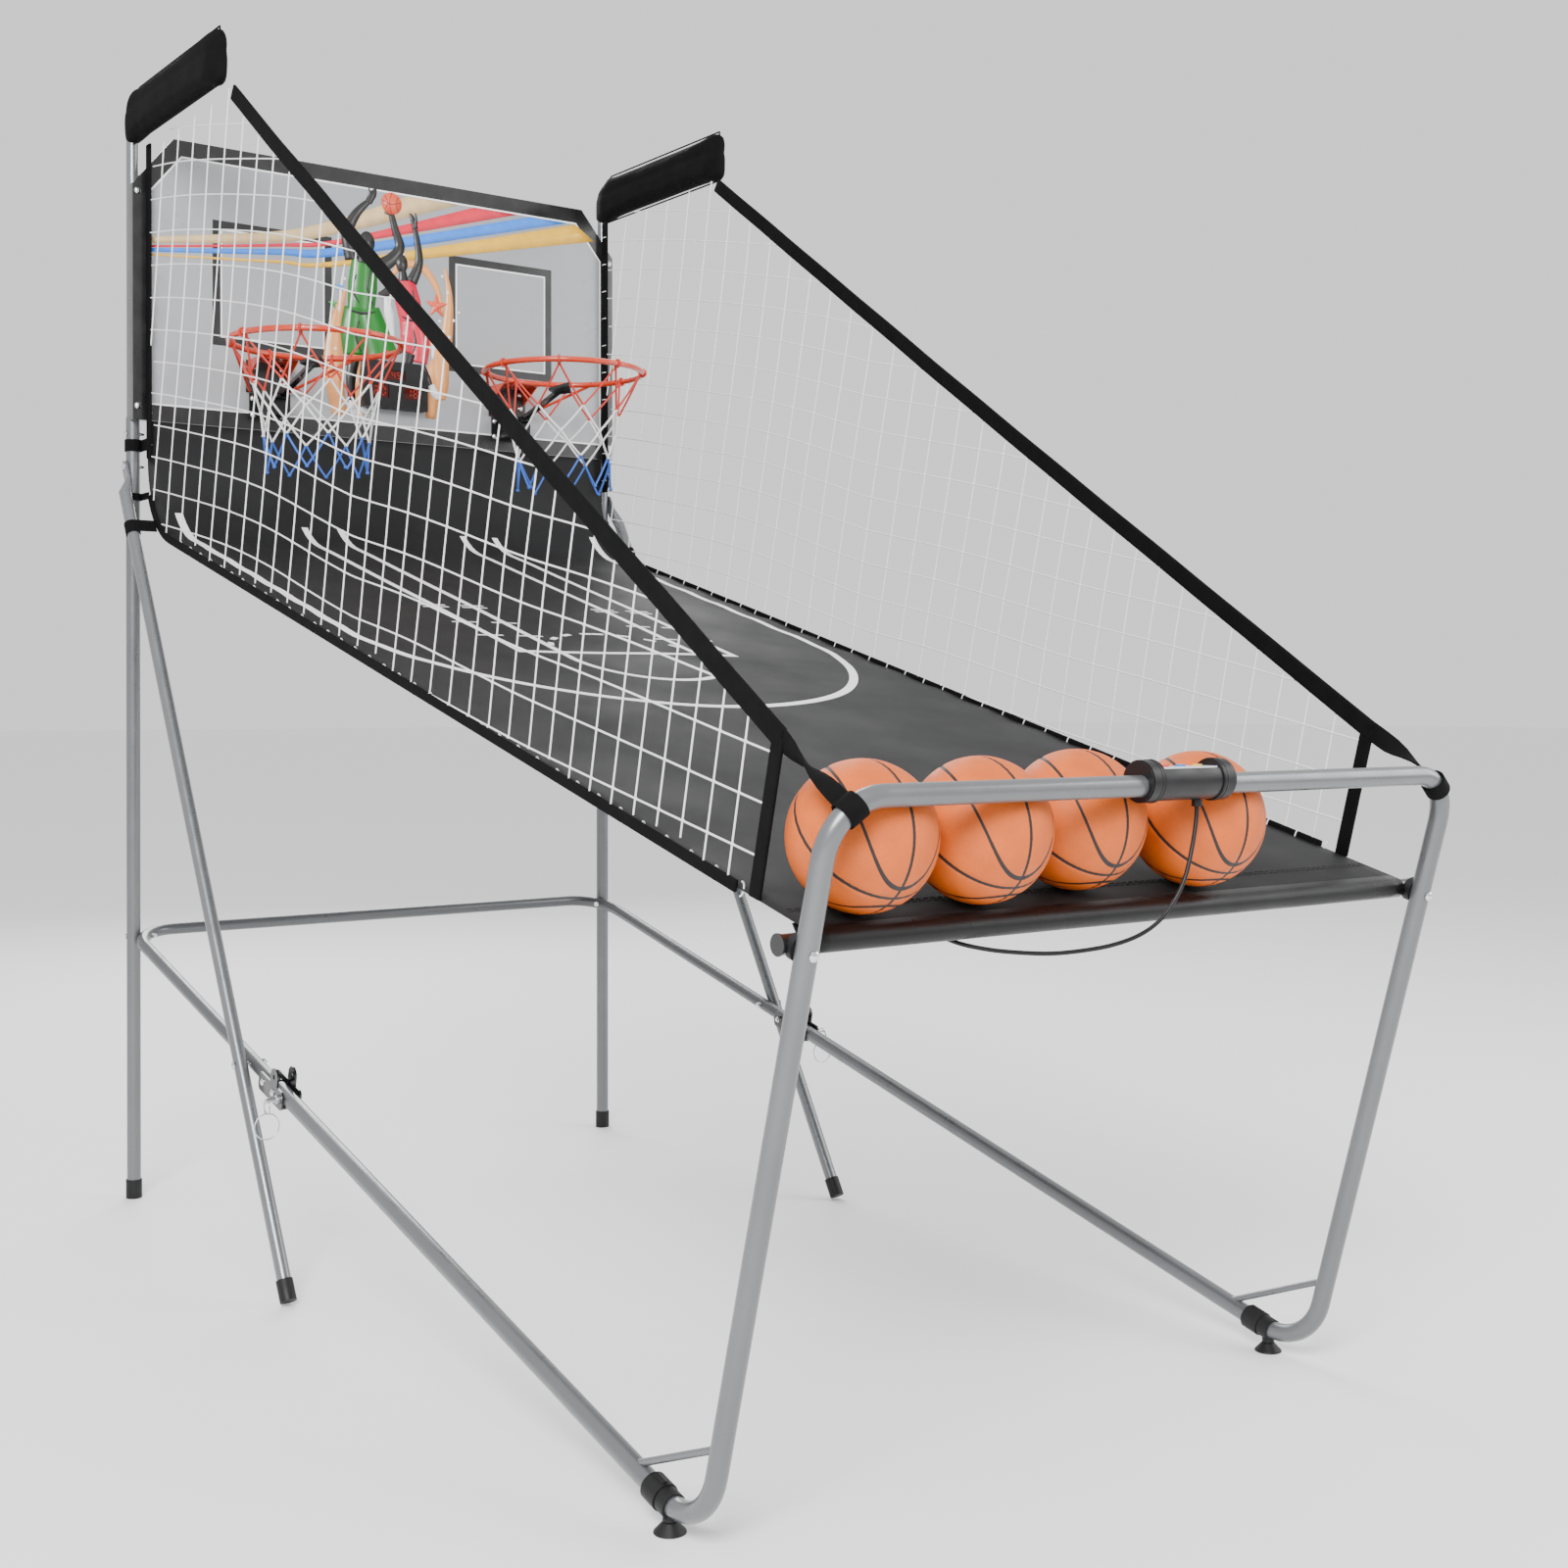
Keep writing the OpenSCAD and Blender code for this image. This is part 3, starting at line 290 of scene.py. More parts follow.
def knotted_cord(name, colour, twist=520):
    """Twisted netting cord."""
    f = Finish(name, colour, 0.65)
    strand = f.wave(twist, "DIAGONAL", distortion=1.5)
    f.paint(f.mix(strand, shade(colour, 0.82), shade(colour, 1.06)))
    f.bump(strand, 0.35, 0.0005)
    return f.material


# The rim net's cord is red above the first height and blue below the second
CORD_RED_ABOVE = 1.4985
CORD_BLUE_BELOW = 1.4035


def rim_cord():
    """Netting cord dyed red at the ring, white in the middle and blue at the tail."""
    f = Finish("rim_cord", (0.9, 0.9, 0.9), 0.6)
    height = f.split(f.place())[2]
    red = f.math("GREATER_THAN", height, CORD_RED_ABOVE)
    blue = f.math("LESS_THAN", height, CORD_BLUE_BELOW)
    tone = f.mix(red, (0.88, 0.88, 0.87), (0.62, 0.03, 0.012))
    tone = f.mix(blue, tone, (0.02, 0.12, 0.55))
    strand = f.wave(420, "DIAGONAL", distortion=1.5)
    f.paint(f.mix(f.math("MULTIPLY", strand, 0.25), tone, (0.12, 0.1, 0.1)))
    f.bump(strand, 0.35, 0.0006)
    return f.material


def inside(f, value, low, high):
    """1 where value lies between low and high."""
    return f.math("MULTIPLY", f.math("GREATER_THAN", value, low), f.math("LESS_THAN", value, high))


def most(f, masks):
    found = masks[0]
    for mask in masks[1:]:
        found = f.math("MAXIMUM", found, mask)
    return found


def line_mask(f, across, x, width, along, low, high):
    """A stripe of that width at across = x, from low to high."""
    near = f.math("LESS_THAN", f.math("ABSOLUTE", f.math("SUBTRACT", across, x)), width / 2)
    return f.math("MULTIPLY", near, inside(f, along, low, high))


def ring_mask(f, u, v, centre, radius, width, below):
    """The half of a painted ring that lies on one side of its centre; below picks the side."""
    du = f.math("SUBTRACT", u, centre[0])
    dv = f.math("SUBTRACT", v, centre[1])
    distance = f.math("SQRT", f.math("ADD", f.math("MULTIPLY", du, du), f.math("MULTIPLY", dv, dv)))
    near = f.math("LESS_THAN", f.math("ABSOLUTE", f.math("SUBTRACT", distance, radius)), width / 2)
    side = f.math("LESS_THAN" if below else "GREATER_THAN", v, centre[1])
    return f.math("MULTIPLY", near, side), du, dv


# Court markings, as distances from the front lip along the cloth
FREE_THROW = 1.165
KEY_HALF = 0.205
CIRCLE_RADIUS = 0.132
ARC_HALF = 0.445
ARC_CENTRE = 1.29
LINES_END = 2.06
MARK = 0.0125
CIRCLE_SHIFT = 0.035
TICKS = (1.27, 1.36, 1.47, 1.485)
TICK_HALF = 0.024
TICK_WIDTH = 0.006


def court_cloth():
    """Charcoal printed cloth with white court markings, read from the cloth's own map."""
    base = (0.0125, 0.0128, 0.0135)
    f = Finish("court_cloth", base, 0.7, specular_ior_level=0.22)
    point = f.place(uv=True)
    x, v, _ = f.split(point)
    u = f.math("ABSOLUTE", x)
    arc, _, _ = ring_mask(f, u, v, (0, ARC_CENTRE), ARC_HALF, MARK * 1.2, True)
    key, _, _ = ring_mask(f, u, v, (0, FREE_THROW - CIRCLE_SHIFT), CIRCLE_RADIUS, MARK, True)
    far, du, dv = ring_mask(f, u, v, (0, FREE_THROW), CIRCLE_RADIUS, MARK * 0.8, False)
    turn = f.math("ARCTAN2", dv, du)
    beat = f.math("SINE", f.math("MULTIPLY", turn, 18))
    dashes = f.math("MULTIPLY", far, f.math("GREATER_THAN", beat, 0.1))
    masks = [
        arc,
        key,
        dashes,
        line_mask(f, u, ARC_HALF, MARK * 1.2, v, ARC_CENTRE, LINES_END + 0.02),
        line_mask(f, u, KEY_HALF, MARK, v, FREE_THROW, LINES_END),
        line_mask(f, u, CIRCLE_RADIUS, MARK, v, FREE_THROW - CIRCLE_SHIFT, LINES_END),
        line_mask(f, v, FREE_THROW, MARK, u, -0.01, KEY_HALF + MARK / 2),
    ]
    for tick in TICKS:
        for half in (CIRCLE_RADIUS, KEY_HALF):
            masks.append(line_mask(f, v, tick, TICK_WIDTH, u, half - TICK_HALF, half + TICK_HALF))
    marks = most(f, masks)
    worn = f.ramp(f.noise(160, 5, where=point, rough=0.7), 0.28, 0.36)
    marks = f.math("MULTIPLY", marks, worn)
    warp = f.wave(330, "X", point)
    weft = f.wave(330, "Y", point)
    cloud = f.ramp(f.noise(7, 4, where=point), 0.3, 0.7)
    hem = f.math("LESS_THAN", v, 0.012)
    tone = f.mix(cloud, shade(base, 0.82), shade(base, 1.25))
    tone = f.mix(hem, tone, (0.006, 0.006, 0.0065))
    f.paint(f.mix(marks, tone, (0.86, 0.86, 0.86)))
    cloth_gloss = f.ramp(f.noise(5, 3, where=point), 0.3, 0.7, 0.55, 0.72)
    f.link(f.math("SUBTRACT", cloth_gloss, f.math("MULTIPLY", hem, 0.34)), f.shader.inputs["Roughness"])
    f.bump(f.math("ADD", warp, weft), 0.25, 0.0003)
    f.bump(f.noise(16, 3, where=point), 0.18, 0.004)
    return f.material


# The board's printed border and its two target squares
BOARD_TOP = 1.977
BOARD_HALF = 0.518
BOARD_CORNER = (0.077, 0.094)
BORDER = 0.033
BORDER_LINE = 0.0032
TARGET_X = 0.247
TARGET_HALF = 0.120
TARGET_LOW = 1.601
TARGET_HIGH = 1.838
TARGET_BAR = 0.0155
TARGET_LINE = 0.003
BLACK_INK = (0.005, 0.005, 0.0055)
WHITE_INK = (0.88, 0.88, 0.88)


def board_print():
    """Grey printed board: black border with a white line, and two black target squares."""
    f = Finish("board_print", (0.42, 0.43, 0.45), 0.32, coat_weight=0.3, coat_roughness=0.12)
    x, y, z = f.split(f.place())
    u = f.math("ABSOLUTE", x)
    slope = BOARD_CORNER[1] / BOARD_CORNER[0]

    def within(inset):
        """1 inside the board's outline drawn in by inset."""
        flat = f.math("MULTIPLY", f.math("LESS_THAN", u, BOARD_HALF - inset),
                      inside(f, z, BOARD_BOTTOM + inset, BOARD_TOP - inset))
        reach = f.math("ADD", f.math("MULTIPLY", u, slope), z)
        limit = (BOARD_HALF - BOARD_CORNER[0]) * slope + BOARD_TOP - inset * math.hypot(1, slope)
        return f.math("MULTIPLY", flat, f.math("LESS_THAN", reach, limit))

    def target(inset):
        """1 inside a target square's outer edge drawn in by inset."""
        half = TARGET_HALF - inset
        columns = inside(f, u, TARGET_X - half, TARGET_X + half)
        return f.math("MULTIPLY", columns, inside(f, z, TARGET_LOW + inset, TARGET_HIGH - inset))

    field = f.ramp(f.math("ADD", f.math("MULTIPLY", z, 0.6), f.math("MULTIPLY", x, 0.35)), 0.75, 1.35)
    tone = f.mix(field, (0.34, 0.35, 0.365), (0.27, 0.278, 0.292))
    bar = f.math("SUBTRACT", target(0), target(TARGET_BAR))
    inner_line = f.math("SUBTRACT", target(TARGET_BAR), target(TARGET_BAR + TARGET_LINE))
    tone = f.mix(bar, tone, BLACK_INK)
    tone = f.mix(inner_line, tone, WHITE_INK)
    tone = f.mix(within(BORDER), WHITE_INK, tone)
    tone = f.mix(within(BORDER - BORDER_LINE), BLACK_INK, tone)
    facing = f.math("LESS_THAN", y, BOARD_FRONT + 0.0004)
    core = f.mix(f.ramp(f.noise(240, 4), 0.35, 0.65), (0.035, 0.033, 0.031), (0.06, 0.056, 0.052))
    dust = f.math("MULTIPLY", f.ramp(f.noise(30, 4), 0.4, 0.7), 0.012)
    f.paint(f.mix(facing, core, f.mix(dust, tone, (0.7, 0.7, 0.7))))
    f.shine(f.noise(18, 3), 0.26, 0.4)
    f.bump(f.noise(500, 2), 0.05, 0.0003)
    return f.material


def printed_ink(name, colour):
    """Screen-printed ink, slightly uneven in cover and gloss."""
    f = Finish(name, colour, 0.35, coat_weight=0.2, coat_roughness=0.15)
    f.paint(f.mix(f.ramp(f.noise(45, 4), 0.35, 0.7), shade(colour, 0.93), shade(colour, 1.08)))
    f.shine(f.noise(60, 3), 0.28, 0.42)
    return f.material


# A ball of radius 1: half the width of a seam, where a side seam starts, how it bends and its slope
SEAM_HALF = 0.025
SEAM_LOW = 0.18
SEAM_CURL = 1.2
SEAM_SLOPE = 0.7


def ball_rubber(name, centre, turn):
    """Pebbled orange rubber with painted shade in the grooves between the pebbles, and black channels along
    the eight-panel seams.
    """
    base = (0.66, 0.118, 0.006)
    f = Finish(name, base, 0.5, specular_ior_level=0.4)
    point = f.place(centre, turn, (BALL_RADIUS,) * 3)
    x, y, _ = f.split(point)
    paths = (x, y, f.math("MULTIPLY", seam_curve(f, x, y), SEAM_SLOPE))
    seam = most(f, [f.math("LESS_THAN", f.math("ABSOLUTE", path), SEAM_HALF) for path in paths])
    pebble = f.voronoi(52, point, "DISTANCE_TO_EDGE")
    tone = f.mix(f.ramp(f.noise(2.2, 3, where=point), 0.3, 0.7), shade(base, 0.88), shade(base, 1.1))
    # Painted shade: the rubber is drawn darker at the edges of each pebble, in the grooves between them.
    tone = f.mix(f.ramp(pebble, 0.0, 0.09), shade(base, 0.72), tone)
    f.paint(f.mix(seam, tone, (0.014, 0.012, 0.011)))
    f.shine(f.noise(6, 3, where=point), 0.42, 0.58)
    f.bump(f.ramp(pebble, 0.0, 0.14), 0.35, 0.0007)
    return f.material


def seam_curve(f, x, y):
    """0 on the two closed side seams of a ball of radius 1."""
    rise = f.math("ADD", f.math("MULTIPLY", f.math("MULTIPLY", x, x), SEAM_CURL), SEAM_LOW)
    return f.math("SUBTRACT", f.math("ABSOLUTE", y), rise)


def battery_wrap():
    """Dark sleeves on the cells with a copper-toned band at the positive end."""
    f = Finish("battery_wrap", (0.03, 0.03, 0.033), 0.3, 0.4)
    x = f.split(f.place())[0]
    f.paint(f.mix(f.math("GREATER_THAN", x, 0.014), (0.03, 0.03, 0.033), (0.6, 0.27, 0.09)))
    f.bump(f.noise(500, 2), 0.05, 0.0002)
    return f.material


def circuit(name):
    """Green solder mask with copper tracks."""
    f = Finish(name, (0.02, 0.13, 0.05), 0.4)
    tracks = f.node("ShaderNodeTexBrick")
    tracks.inputs["Scale"].default_value = 120
    tracks.inputs["Mortar Size"].default_value = 0.06
    f.link(f.place(turn=(math.pi / 2, 0, 0)), tracks.inputs["Vector"])
    f.paint(f.mix(tracks.outputs["Fac"], (0.018, 0.12, 0.045), (0.05, 0.2, 0.07)))
    f.bump(tracks.outputs["Fac"], 0.1, 0.0002)
    return f.material


def box_label():
    """White printed label with a blue band and plain rings round the buttons."""
    f = Finish("box_label", (0.8, 0.82, 0.85), 0.3, coat_weight=0.4)
    x, y, _ = f.split(f.place())
    near_y = f.math("SUBTRACT", y, HANDLE[0] + 0.004)
    masks = []
    for bx in (-0.028, 0.0, 0.028):
        dx = f.math("SUBTRACT", x, bx)
        r = f.math("SQRT", f.math("ADD", f.math("MULTIPLY", dx, dx), f.math("MULTIPLY", near_y, near_y)))
        masks.append(inside(f, r, 0.0072, 0.0084))
    band = inside(f, f.math("ABSOLUTE", near_y), 0.0095, 0.0125)
    tone = f.mix(f.ramp(f.noise(200, 3), 0.3, 0.7), (0.76, 0.78, 0.8), (0.84, 0.86, 0.88))
    tone = f.mix(band, tone, (0.02, 0.12, 0.6))
    f.paint(f.mix(most(f, masks), tone, (0.03, 0.05, 0.12)))
    return f.material


def display_glow():
    """Dim red display segments."""
    f = Finish("display_glow", (0.3, 0.01, 0.005), 0.4, emission_strength=0.16)
    f.shader.inputs["Emission Color"].default_value = (0.85, 0.06, 0.02, 1)
    f.paint(f.mix(f.noise(700, 2), (0.25, 0.008, 0.004), (0.36, 0.015, 0.008)))
    return f.material


# ---- shapes ----

def object_from(name, mesh, material, body=None):
    made = bpy.data.objects.new(name, mesh)
    bpy.context.scene.collection.objects.link(made)
    mesh.materials.clear()
    mesh.materials.append(material)
    if body:
        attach(made, body)
    return made


def mesh_from(bm, name, smooth=True, outward=True):
    """Takes the finished mesh out of bm, with its faces turned outward."""
    if outward:
        bmesh.ops.recalc_face_normals(bm, faces=bm.faces)
    mesh = bpy.data.meshes.new(name)
    bm.to_mesh(mesh)
    bm.free()
    if smooth:
        mesh.shade_smooth()
    return mesh


def bake_modifiers(made):
    """Replaces the mesh with what its modifiers make of it."""
    graph = bpy.context.evaluated_depsgraph_get()
    mesh = bpy.data.meshes.new_from_object(made.evaluated_get(graph))
    made.modifiers.clear()
    made.data = mesh
    return made


def thicken(made, thickness, bevel=0.0):
    """Gives a sheet its thickness, then rounds its edges."""
    solid = made.modifiers.new("thickness", "SOLIDIFY")
    solid.thickness = thickness
    solid.offset = 0
    solid.use_even_offset = True
    if bevel:
        round_off = made.modifiers.new("edges", "BEVEL")
        round_off.width = bevel
        round_off.segments = 2
        round_off.limit_method = "ANGLE"
        round_off.angle_limit = math.radians(50)
    return bake_modifiers(made)


def loft(bm, rows, ring=False):
    """Draws the first row of points as a chain of edges, and extrudes it through the others."""
    verts = [bm.verts.new(p) for p in rows[0]]
    pairs = [(i, i + 1) for i in range(len(verts) - 1)]
    if ring:
        pairs.append((len(verts) - 1, 0))
    edges = [bm.edges.new((verts[a], verts[b])) for a, b in pairs]
    for row in rows[1:]:
        made = bmesh.ops.extrude_edge_only(bm, edges=edges)["geom"]
        new = {g for g in made if isinstance(g, bmesh.types.BMVert)}
        verts = [next(e.other_vert(v) for e in v.link_edges if e.other_vert(v) in new) for v in verts]
        for vert, place in zip(verts, row):
            vert.co = place
        edges = [bm.edges.get((verts[a], verts[b])) for a, b in pairs]
    return verts


def sewn_band(rows, thickness, bevel=0.0):
    """A band of black cloth or webbing through rows of points across it, to be joined to others."""
    bm = bmesh.new()
    loft(bm, rows)
    bmesh.ops.remove_doubles(bm, verts=bm.verts, dist=WELD)
    made = object_from("band", mesh_from(bm, "band"), FABRIC_BLACK)
    return thicken(made, thickness, bevel)


def cords(name, lines, radius, material, resolution=1, knots=(), knot_radius=0.0):
    """Round cords along lines of points, with a small knot at each of knots."""
    curve = bpy.data.curves.new(name, "CURVE")
    curve.dimensions = "3D"
    curve.bevel_depth = radius
    curve.bevel_resolution = resolution
    curve.use_fill_caps = True
    for line in lines:
        spline = curve.splines.new("POLY")
        spline.points.add(len(line) - 1)
        for point, place in zip(spline.points, line):
            point.co = (*place, 1)
    holder = bpy.data.objects.new(name + "_line", curve)
    bpy.context.scene.collection.objects.link(holder)
    graph = bpy.context.evaluated_depsgraph_get()
    mesh = bpy.data.meshes.new_from_object(holder.evaluated_get(graph))
    bpy.data.objects.remove(holder)
    bm = bmesh.new()
    bm.from_mesh(mesh)
    bpy.data.meshes.remove(mesh)
    for place in knots:
        bmesh.ops.create_icosphere(bm, subdivisions=1, radius=knot_radius, matrix=Matrix.Translation(place))
    return object_from(name, mesh_from(bm, name), material)


def join_meshes(name, parts, material, body=None):
    """One piece from several objects' meshes."""
    bm = bmesh.new()
    for part in parts:
        bm.from_mesh(part.data)
        bpy.data.objects.remove(part)
    mesh = bpy.data.meshes.new(name)
    bm.to_mesh(mesh)
    bm.free()
    mesh.shade_smooth()
    return object_from(name, mesh, material, body)


def fold_with_frame(piece):
    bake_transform(piece)


# ---- signal cord ----

CORD_ROUTE = [
    (28, -2113, 815), (26, -2114, 790), (16, -2116, 755), (3, -2117, 722), (-12, -2114, 696),
    (-32, -2109, 674), (-58, -2102, 659), (-92, -2094, 650), (-130, -2086, 646), (-170, -2078, 645),
    (-210, -2068, 648), (-246, -2054, 653), (-274, -2034, 661), (-290, -2004, 674), (-294, -1960, 690),
    (-290, -1900, 708), (-262, -1700, 764), (-222, -1400, 847), (-182, -1100, 930), (-142, -800, 1013),
    (-102, -500, 1096), (-72, -280, 1156), (-60, -170, 1188), (-52, -100, 1210), (-44, -50, 1246),
    (-36, -22, 1300), (-30, -8, 1370), (-26, -1, 1440), (-24, 0, 1500), (-24, 0, 1526)]


def smooth_route(points, steps):
    """Points on one smooth curve through the given ones."""
    line = []
    count = len(points)
    for i in range(count - 1):
        a, b = points[i], points[i + 1]
        ta = (points[min(i + 1, count - 1)] - points[max(i - 1, 0)]) / 2
        tb = (points[min(i + 2, count - 1)] - points[i]) / 2
        for k in range(steps):
            t = k / steps
            line.append(
                (2 * t**3 - 3 * t**2 + 1) * a + (t**3 - 2 * t**2 + t) * ta
                + (3 * t**2 - 2 * t**3) * b + (t**3 - t**2) * tb)
    line.append(points[-1])
    return line


def add_signal_cord():
    """The cord from the control box, down past the lip and up under the court to the scoreboard."""
    points = [Vector((x, y, z)) / 1000 + Vector((0, UPRIGHTS_Y, 0)) for x, y, z in CORD_ROUTE]
    line = smooth_route(points, 10)
    cord_jacket = moulded("cord_jacket", (0.005, 0.005, 0.0055), 0.42, 1400, 0.1)
    piece = cords("signal_cord", [line], 0.0025, cord_jacket, resolution=3)
    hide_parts("cord")
    fold_with_frame(piece)
    return line


# ---- court ----

def court_height(y):
    return COURT_START[1] + (y - COURT_START[0]) * math.tan(COURT_ANGLE)


def court_profile():
    """(y, z, distance from the lip) along the cloth: hem round the lip bar, slope, bend, and rear wall."""
    up = Vector((-math.sin(COURT_ANGLE), math.cos(COURT_ANGLE)))
    ahead = Vector((math.cos(COURT_ANGLE), math.sin(COURT_ANGLE)))
    bar = Vector(LIP_BAR)
    radius = LIP_HEM + 0.0006
    points = []
    join = bar + up * (radius - 0.0024) + ahead * 0.030
    points.append((*join, -HEM_RETURN))
    wrap = 16
    for i in range(wrap, 0, -1):
        angle = math.radians(196) * i / wrap
        spot = bar + radius * (math.cos(angle) * up - math.sin(angle) * ahead)
        points.append((*spot, -radius * angle))
    start = Vector(COURT_START)
    tangent = COURT_BEND * math.tan((math.pi / 2 - COURT_ANGLE) / 2)
    corner_z = court_height(COURT_REAR_Y)
    slope_end = Vector((COURT_REAR_Y, corner_z)) - ahead * tangent
    slope = (slope_end - start).length
    steps = 60
    for i in range(steps + 1):
        spot = start + ahead * slope * i / steps
        points.append((*spot, slope * i / steps))
    bend = math.pi / 2 - COURT_ANGLE
    centre = slope_end + up * COURT_BEND
    for i in range(1, 15):
        angle = bend * i / 14
        spot = centre + COURT_BEND * (math.sin(angle) * ahead - math.cos(angle) * up)
        points.append((*spot, slope + COURT_BEND * angle))
    top = slope + COURT_BEND * bend
    base = centre.y + COURT_BEND * (math.sin(bend) * ahead.y - math.cos(bend) * up.y)
    for i in range(1, 4):
        rise = (BOARD_BOTTOM - 0.0005 - base) * i / 3
        points.append((COURT_REAR_Y, base + rise, top + rise))
    return points


def add_court(finish):
    profile = court_profile()
    across = 44
    bm = bmesh.new()
    rows = [[(COURT_HALF * (2 * i / across - 1), y, z) for i in range(across + 1)] for y, z, _ in profile]
    loft(bm, rows)
    uv = bm.loops.layers.uv.new("cloth")
    distance = {}
    for y, z, s in profile:
        distance[(round(y, 5), round(z, 5))] = s
    for face in bm.faces:
        for corner in face.loops:
            co = corner.vert.co
            corner[uv].uv = (co.x, distance[(round(co.y, 5), round(co.z, 5))])
    for vert in bm.verts:
        x, y = vert.co.x, vert.co.y
        inner = min(1.0, (COURT_HALF - abs(x)) / 0.12)
        length = min(1.0, max(0.0, (y - COURT_START[0] - 0.16) / 0.3))
        length *= min(1.0, max(0.0, (COURT_REAR_Y - y) / 0.2))
        ripple = noise.noise(Vector((x * 5, y * 2.6, 0.3)))
        edge = math.sin(y * 2 * math.pi / 0.12) * (1 - inner)
        vert.co.z += length * (0.0022 * (ripple + 0.5) * inner + 0.0014 * (edge + 1))
    piece = object_from("court_cloth", mesh_from(bm, "court_cloth"), finish)
    thicken(piece, COURT_THICK * 0.8)
    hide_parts("court")
    fold_with_frame(piece)
    length = profile[-1][2] + HEM_RETURN
    return profile


# ---- side nets ----

def net_outline(profile):
    """The net's outline in Y and Z: rear edge, court edge, front strap, diagonal and pad edge."""
    bend = [(y, z) for y, z, s in profile if s > 0.1 and z < 1.385 and y > STRAP_FOOT[0]]
    bend = [p for p in bend if p[0] < NET_REAR_Y]
    low = sorted(bend)
    return ([(NET_REAR_Y, PAD_BOTTOM - 0.002), (NET_REAR_Y, NET_BEND_TOP)] + low[::-1]
            + [STRAP_FOOT, STRAP_HEAD, NET_FRONT, (NET_FRONT[0] + 0.01, PAD_BOTTOM - 0.002)])


def contains(outline, y, z):
    hit = False
    for (ya, za), (yb, zb) in zip(outline, outline[1:] + outline[:1]):
        if (za > z) != (zb > z) and y < (yb - ya) * (z - za) / (zb - za) + ya:
            hit = not hit
    return hit


NET_PITCH = 0.058
NET_SPREAD = 4.7
NET_GATHER = 0.0170
NET_LEAN = math.radians(13)
NET_COLUMNS = (-16, 44)
NET_ROWS = (-30, 30)


def net_point(i, j):
    """The net's warped lattice: i counts columns toward the player, j counts rows upward."""
    forward = Vector((-math.cos(NET_LEAN), -math.sin(NET_LEAN)))
    upward = Vector((-math.sin(NET_LEAN), math.cos(NET_LEAN)))
    reach = NET_SPREAD * (1 - math.exp(-i * NET_GATHER))
    spot = Vector((NET_REAR_Y, 1.2)) + forward * reach + upward * j * NET_PITCH
    droop = noise.noise(Vector((spot.x * 2.1, spot.y * 2.1, 4.0)))
    shift = noise.noise(Vector((spot.x * 2.3, spot.y * 2.3, 9.0)))
    arch = 0.018 * math.sin(min(max((NET_REAR_Y - spot.x) / 0.9, 0), 1) * math.pi)
    return spot + Vector((0.011 * shift, 0.012 * droop + arch))


def net_lines(outline, side):
    """Runs of both cord families that lie inside the outline."""
    fine = 3
    lines = []

    def walk(fixed, span, swap):
        run = []
        for k in range(span[0] * fine, span[1] * fine + 1):
            i, j = (fixed, k / fine) if swap else (k / fine, fixed)
            spot = net_point(i, j)
            if contains(outline, *spot):
                billow = 0.0022 * noise.noise(Vector((spot.x * 3, spot.y * 3, 1.7)))
                run.append((side * (NET_X + billow), spot.x, spot.y))
            else:
                if len(run) > 1:
                    lines.append(run)
                run = []
        if len(run) > 1:
            lines.append(run)

    for i in range(*NET_COLUMNS):
        walk(i, NET_ROWS, True)
    for j in range(*NET_ROWS):
        walk(j, NET_COLUMNS, False)
    return lines


def net_knots(outline, side):
    return [(side * NET_X, *net_point(i, j)) for i in range(*NET_COLUMNS) for j in range(*NET_ROWS)
            if contains(outline, *net_point(i, j))]


def band_rows(path, width, x):
    """Rows across a band of that width along a path in Y and Z."""
    rows = []
    for i, spot in enumerate(path):
        a, b = Vector(path[max(i - 1, 0)]), Vector(path[min(i + 1, len(path) - 1)])
        run = (b - a).normalized()
        normal = Vector((-run.y, run.x))
        p = Vector(spot)
        rows.append([(x, *(p + normal * width * k)) for k in (-0.5, -0.3, 0, 0.3, 0.5)])
    return rows


def even_path(points, step=0.03):
    path = []
    for a, b in zip(points, points[1:]):
        a, b = Vector(a), Vector(b)
        count = max(1, round((b - a).length / step))
        path += [tuple(a + (b - a) * k / count) for k in range(count)]
    return path + [tuple(points[-1])]


def net_sleeves(side, profile):
    """Black cloth sleeves round the edges of a side net."""
    edge = [(y, z + 0.001) for y, z, s in profile if s > 0.1 and z < 1.37 and y < NET_REAR_Y]
    edge = sorted(edge, reverse=True)
    edge = [(y, z) for y, z in edge if y > STRAP_FOOT[0] - 0.01]
    wavy = []
    diagonal = even_path([(STRAP_HEAD[0] - 0.006, STRAP_HEAD[1] - 0.004), NET_FRONT])
    for k, (y, z) in enumerate(diagonal):
        sag = 0.006 * math.sin(math.pi * k / len(diagonal)) + 0.002 * noise.noise(Vector((y * 6, 0, side)))
        wavy.append((y, z - sag))
    rear = even_path([(NET_REAR_Y + 0.002, PAD_BOTTOM - 0.002), (NET_REAR_Y + 0.002, NET_BEND_TOP)])
    front = even_path([STRAP_FOOT, STRAP_HEAD], 0.02)
    x = side * NET_X
    return [
        sewn_band(band_rows(wavy, 0.026, x), 0.0052, 0.0018),
        sewn_band(band_rows(rear, 0.020, x), 0.0050, 0.0018),
        sewn_band(band_rows(edge, 0.0145, x), 0.0048, 0.0016),
        sewn_band(band_rows(front, 0.020, x), 0.0045, 0.0016),
    ]


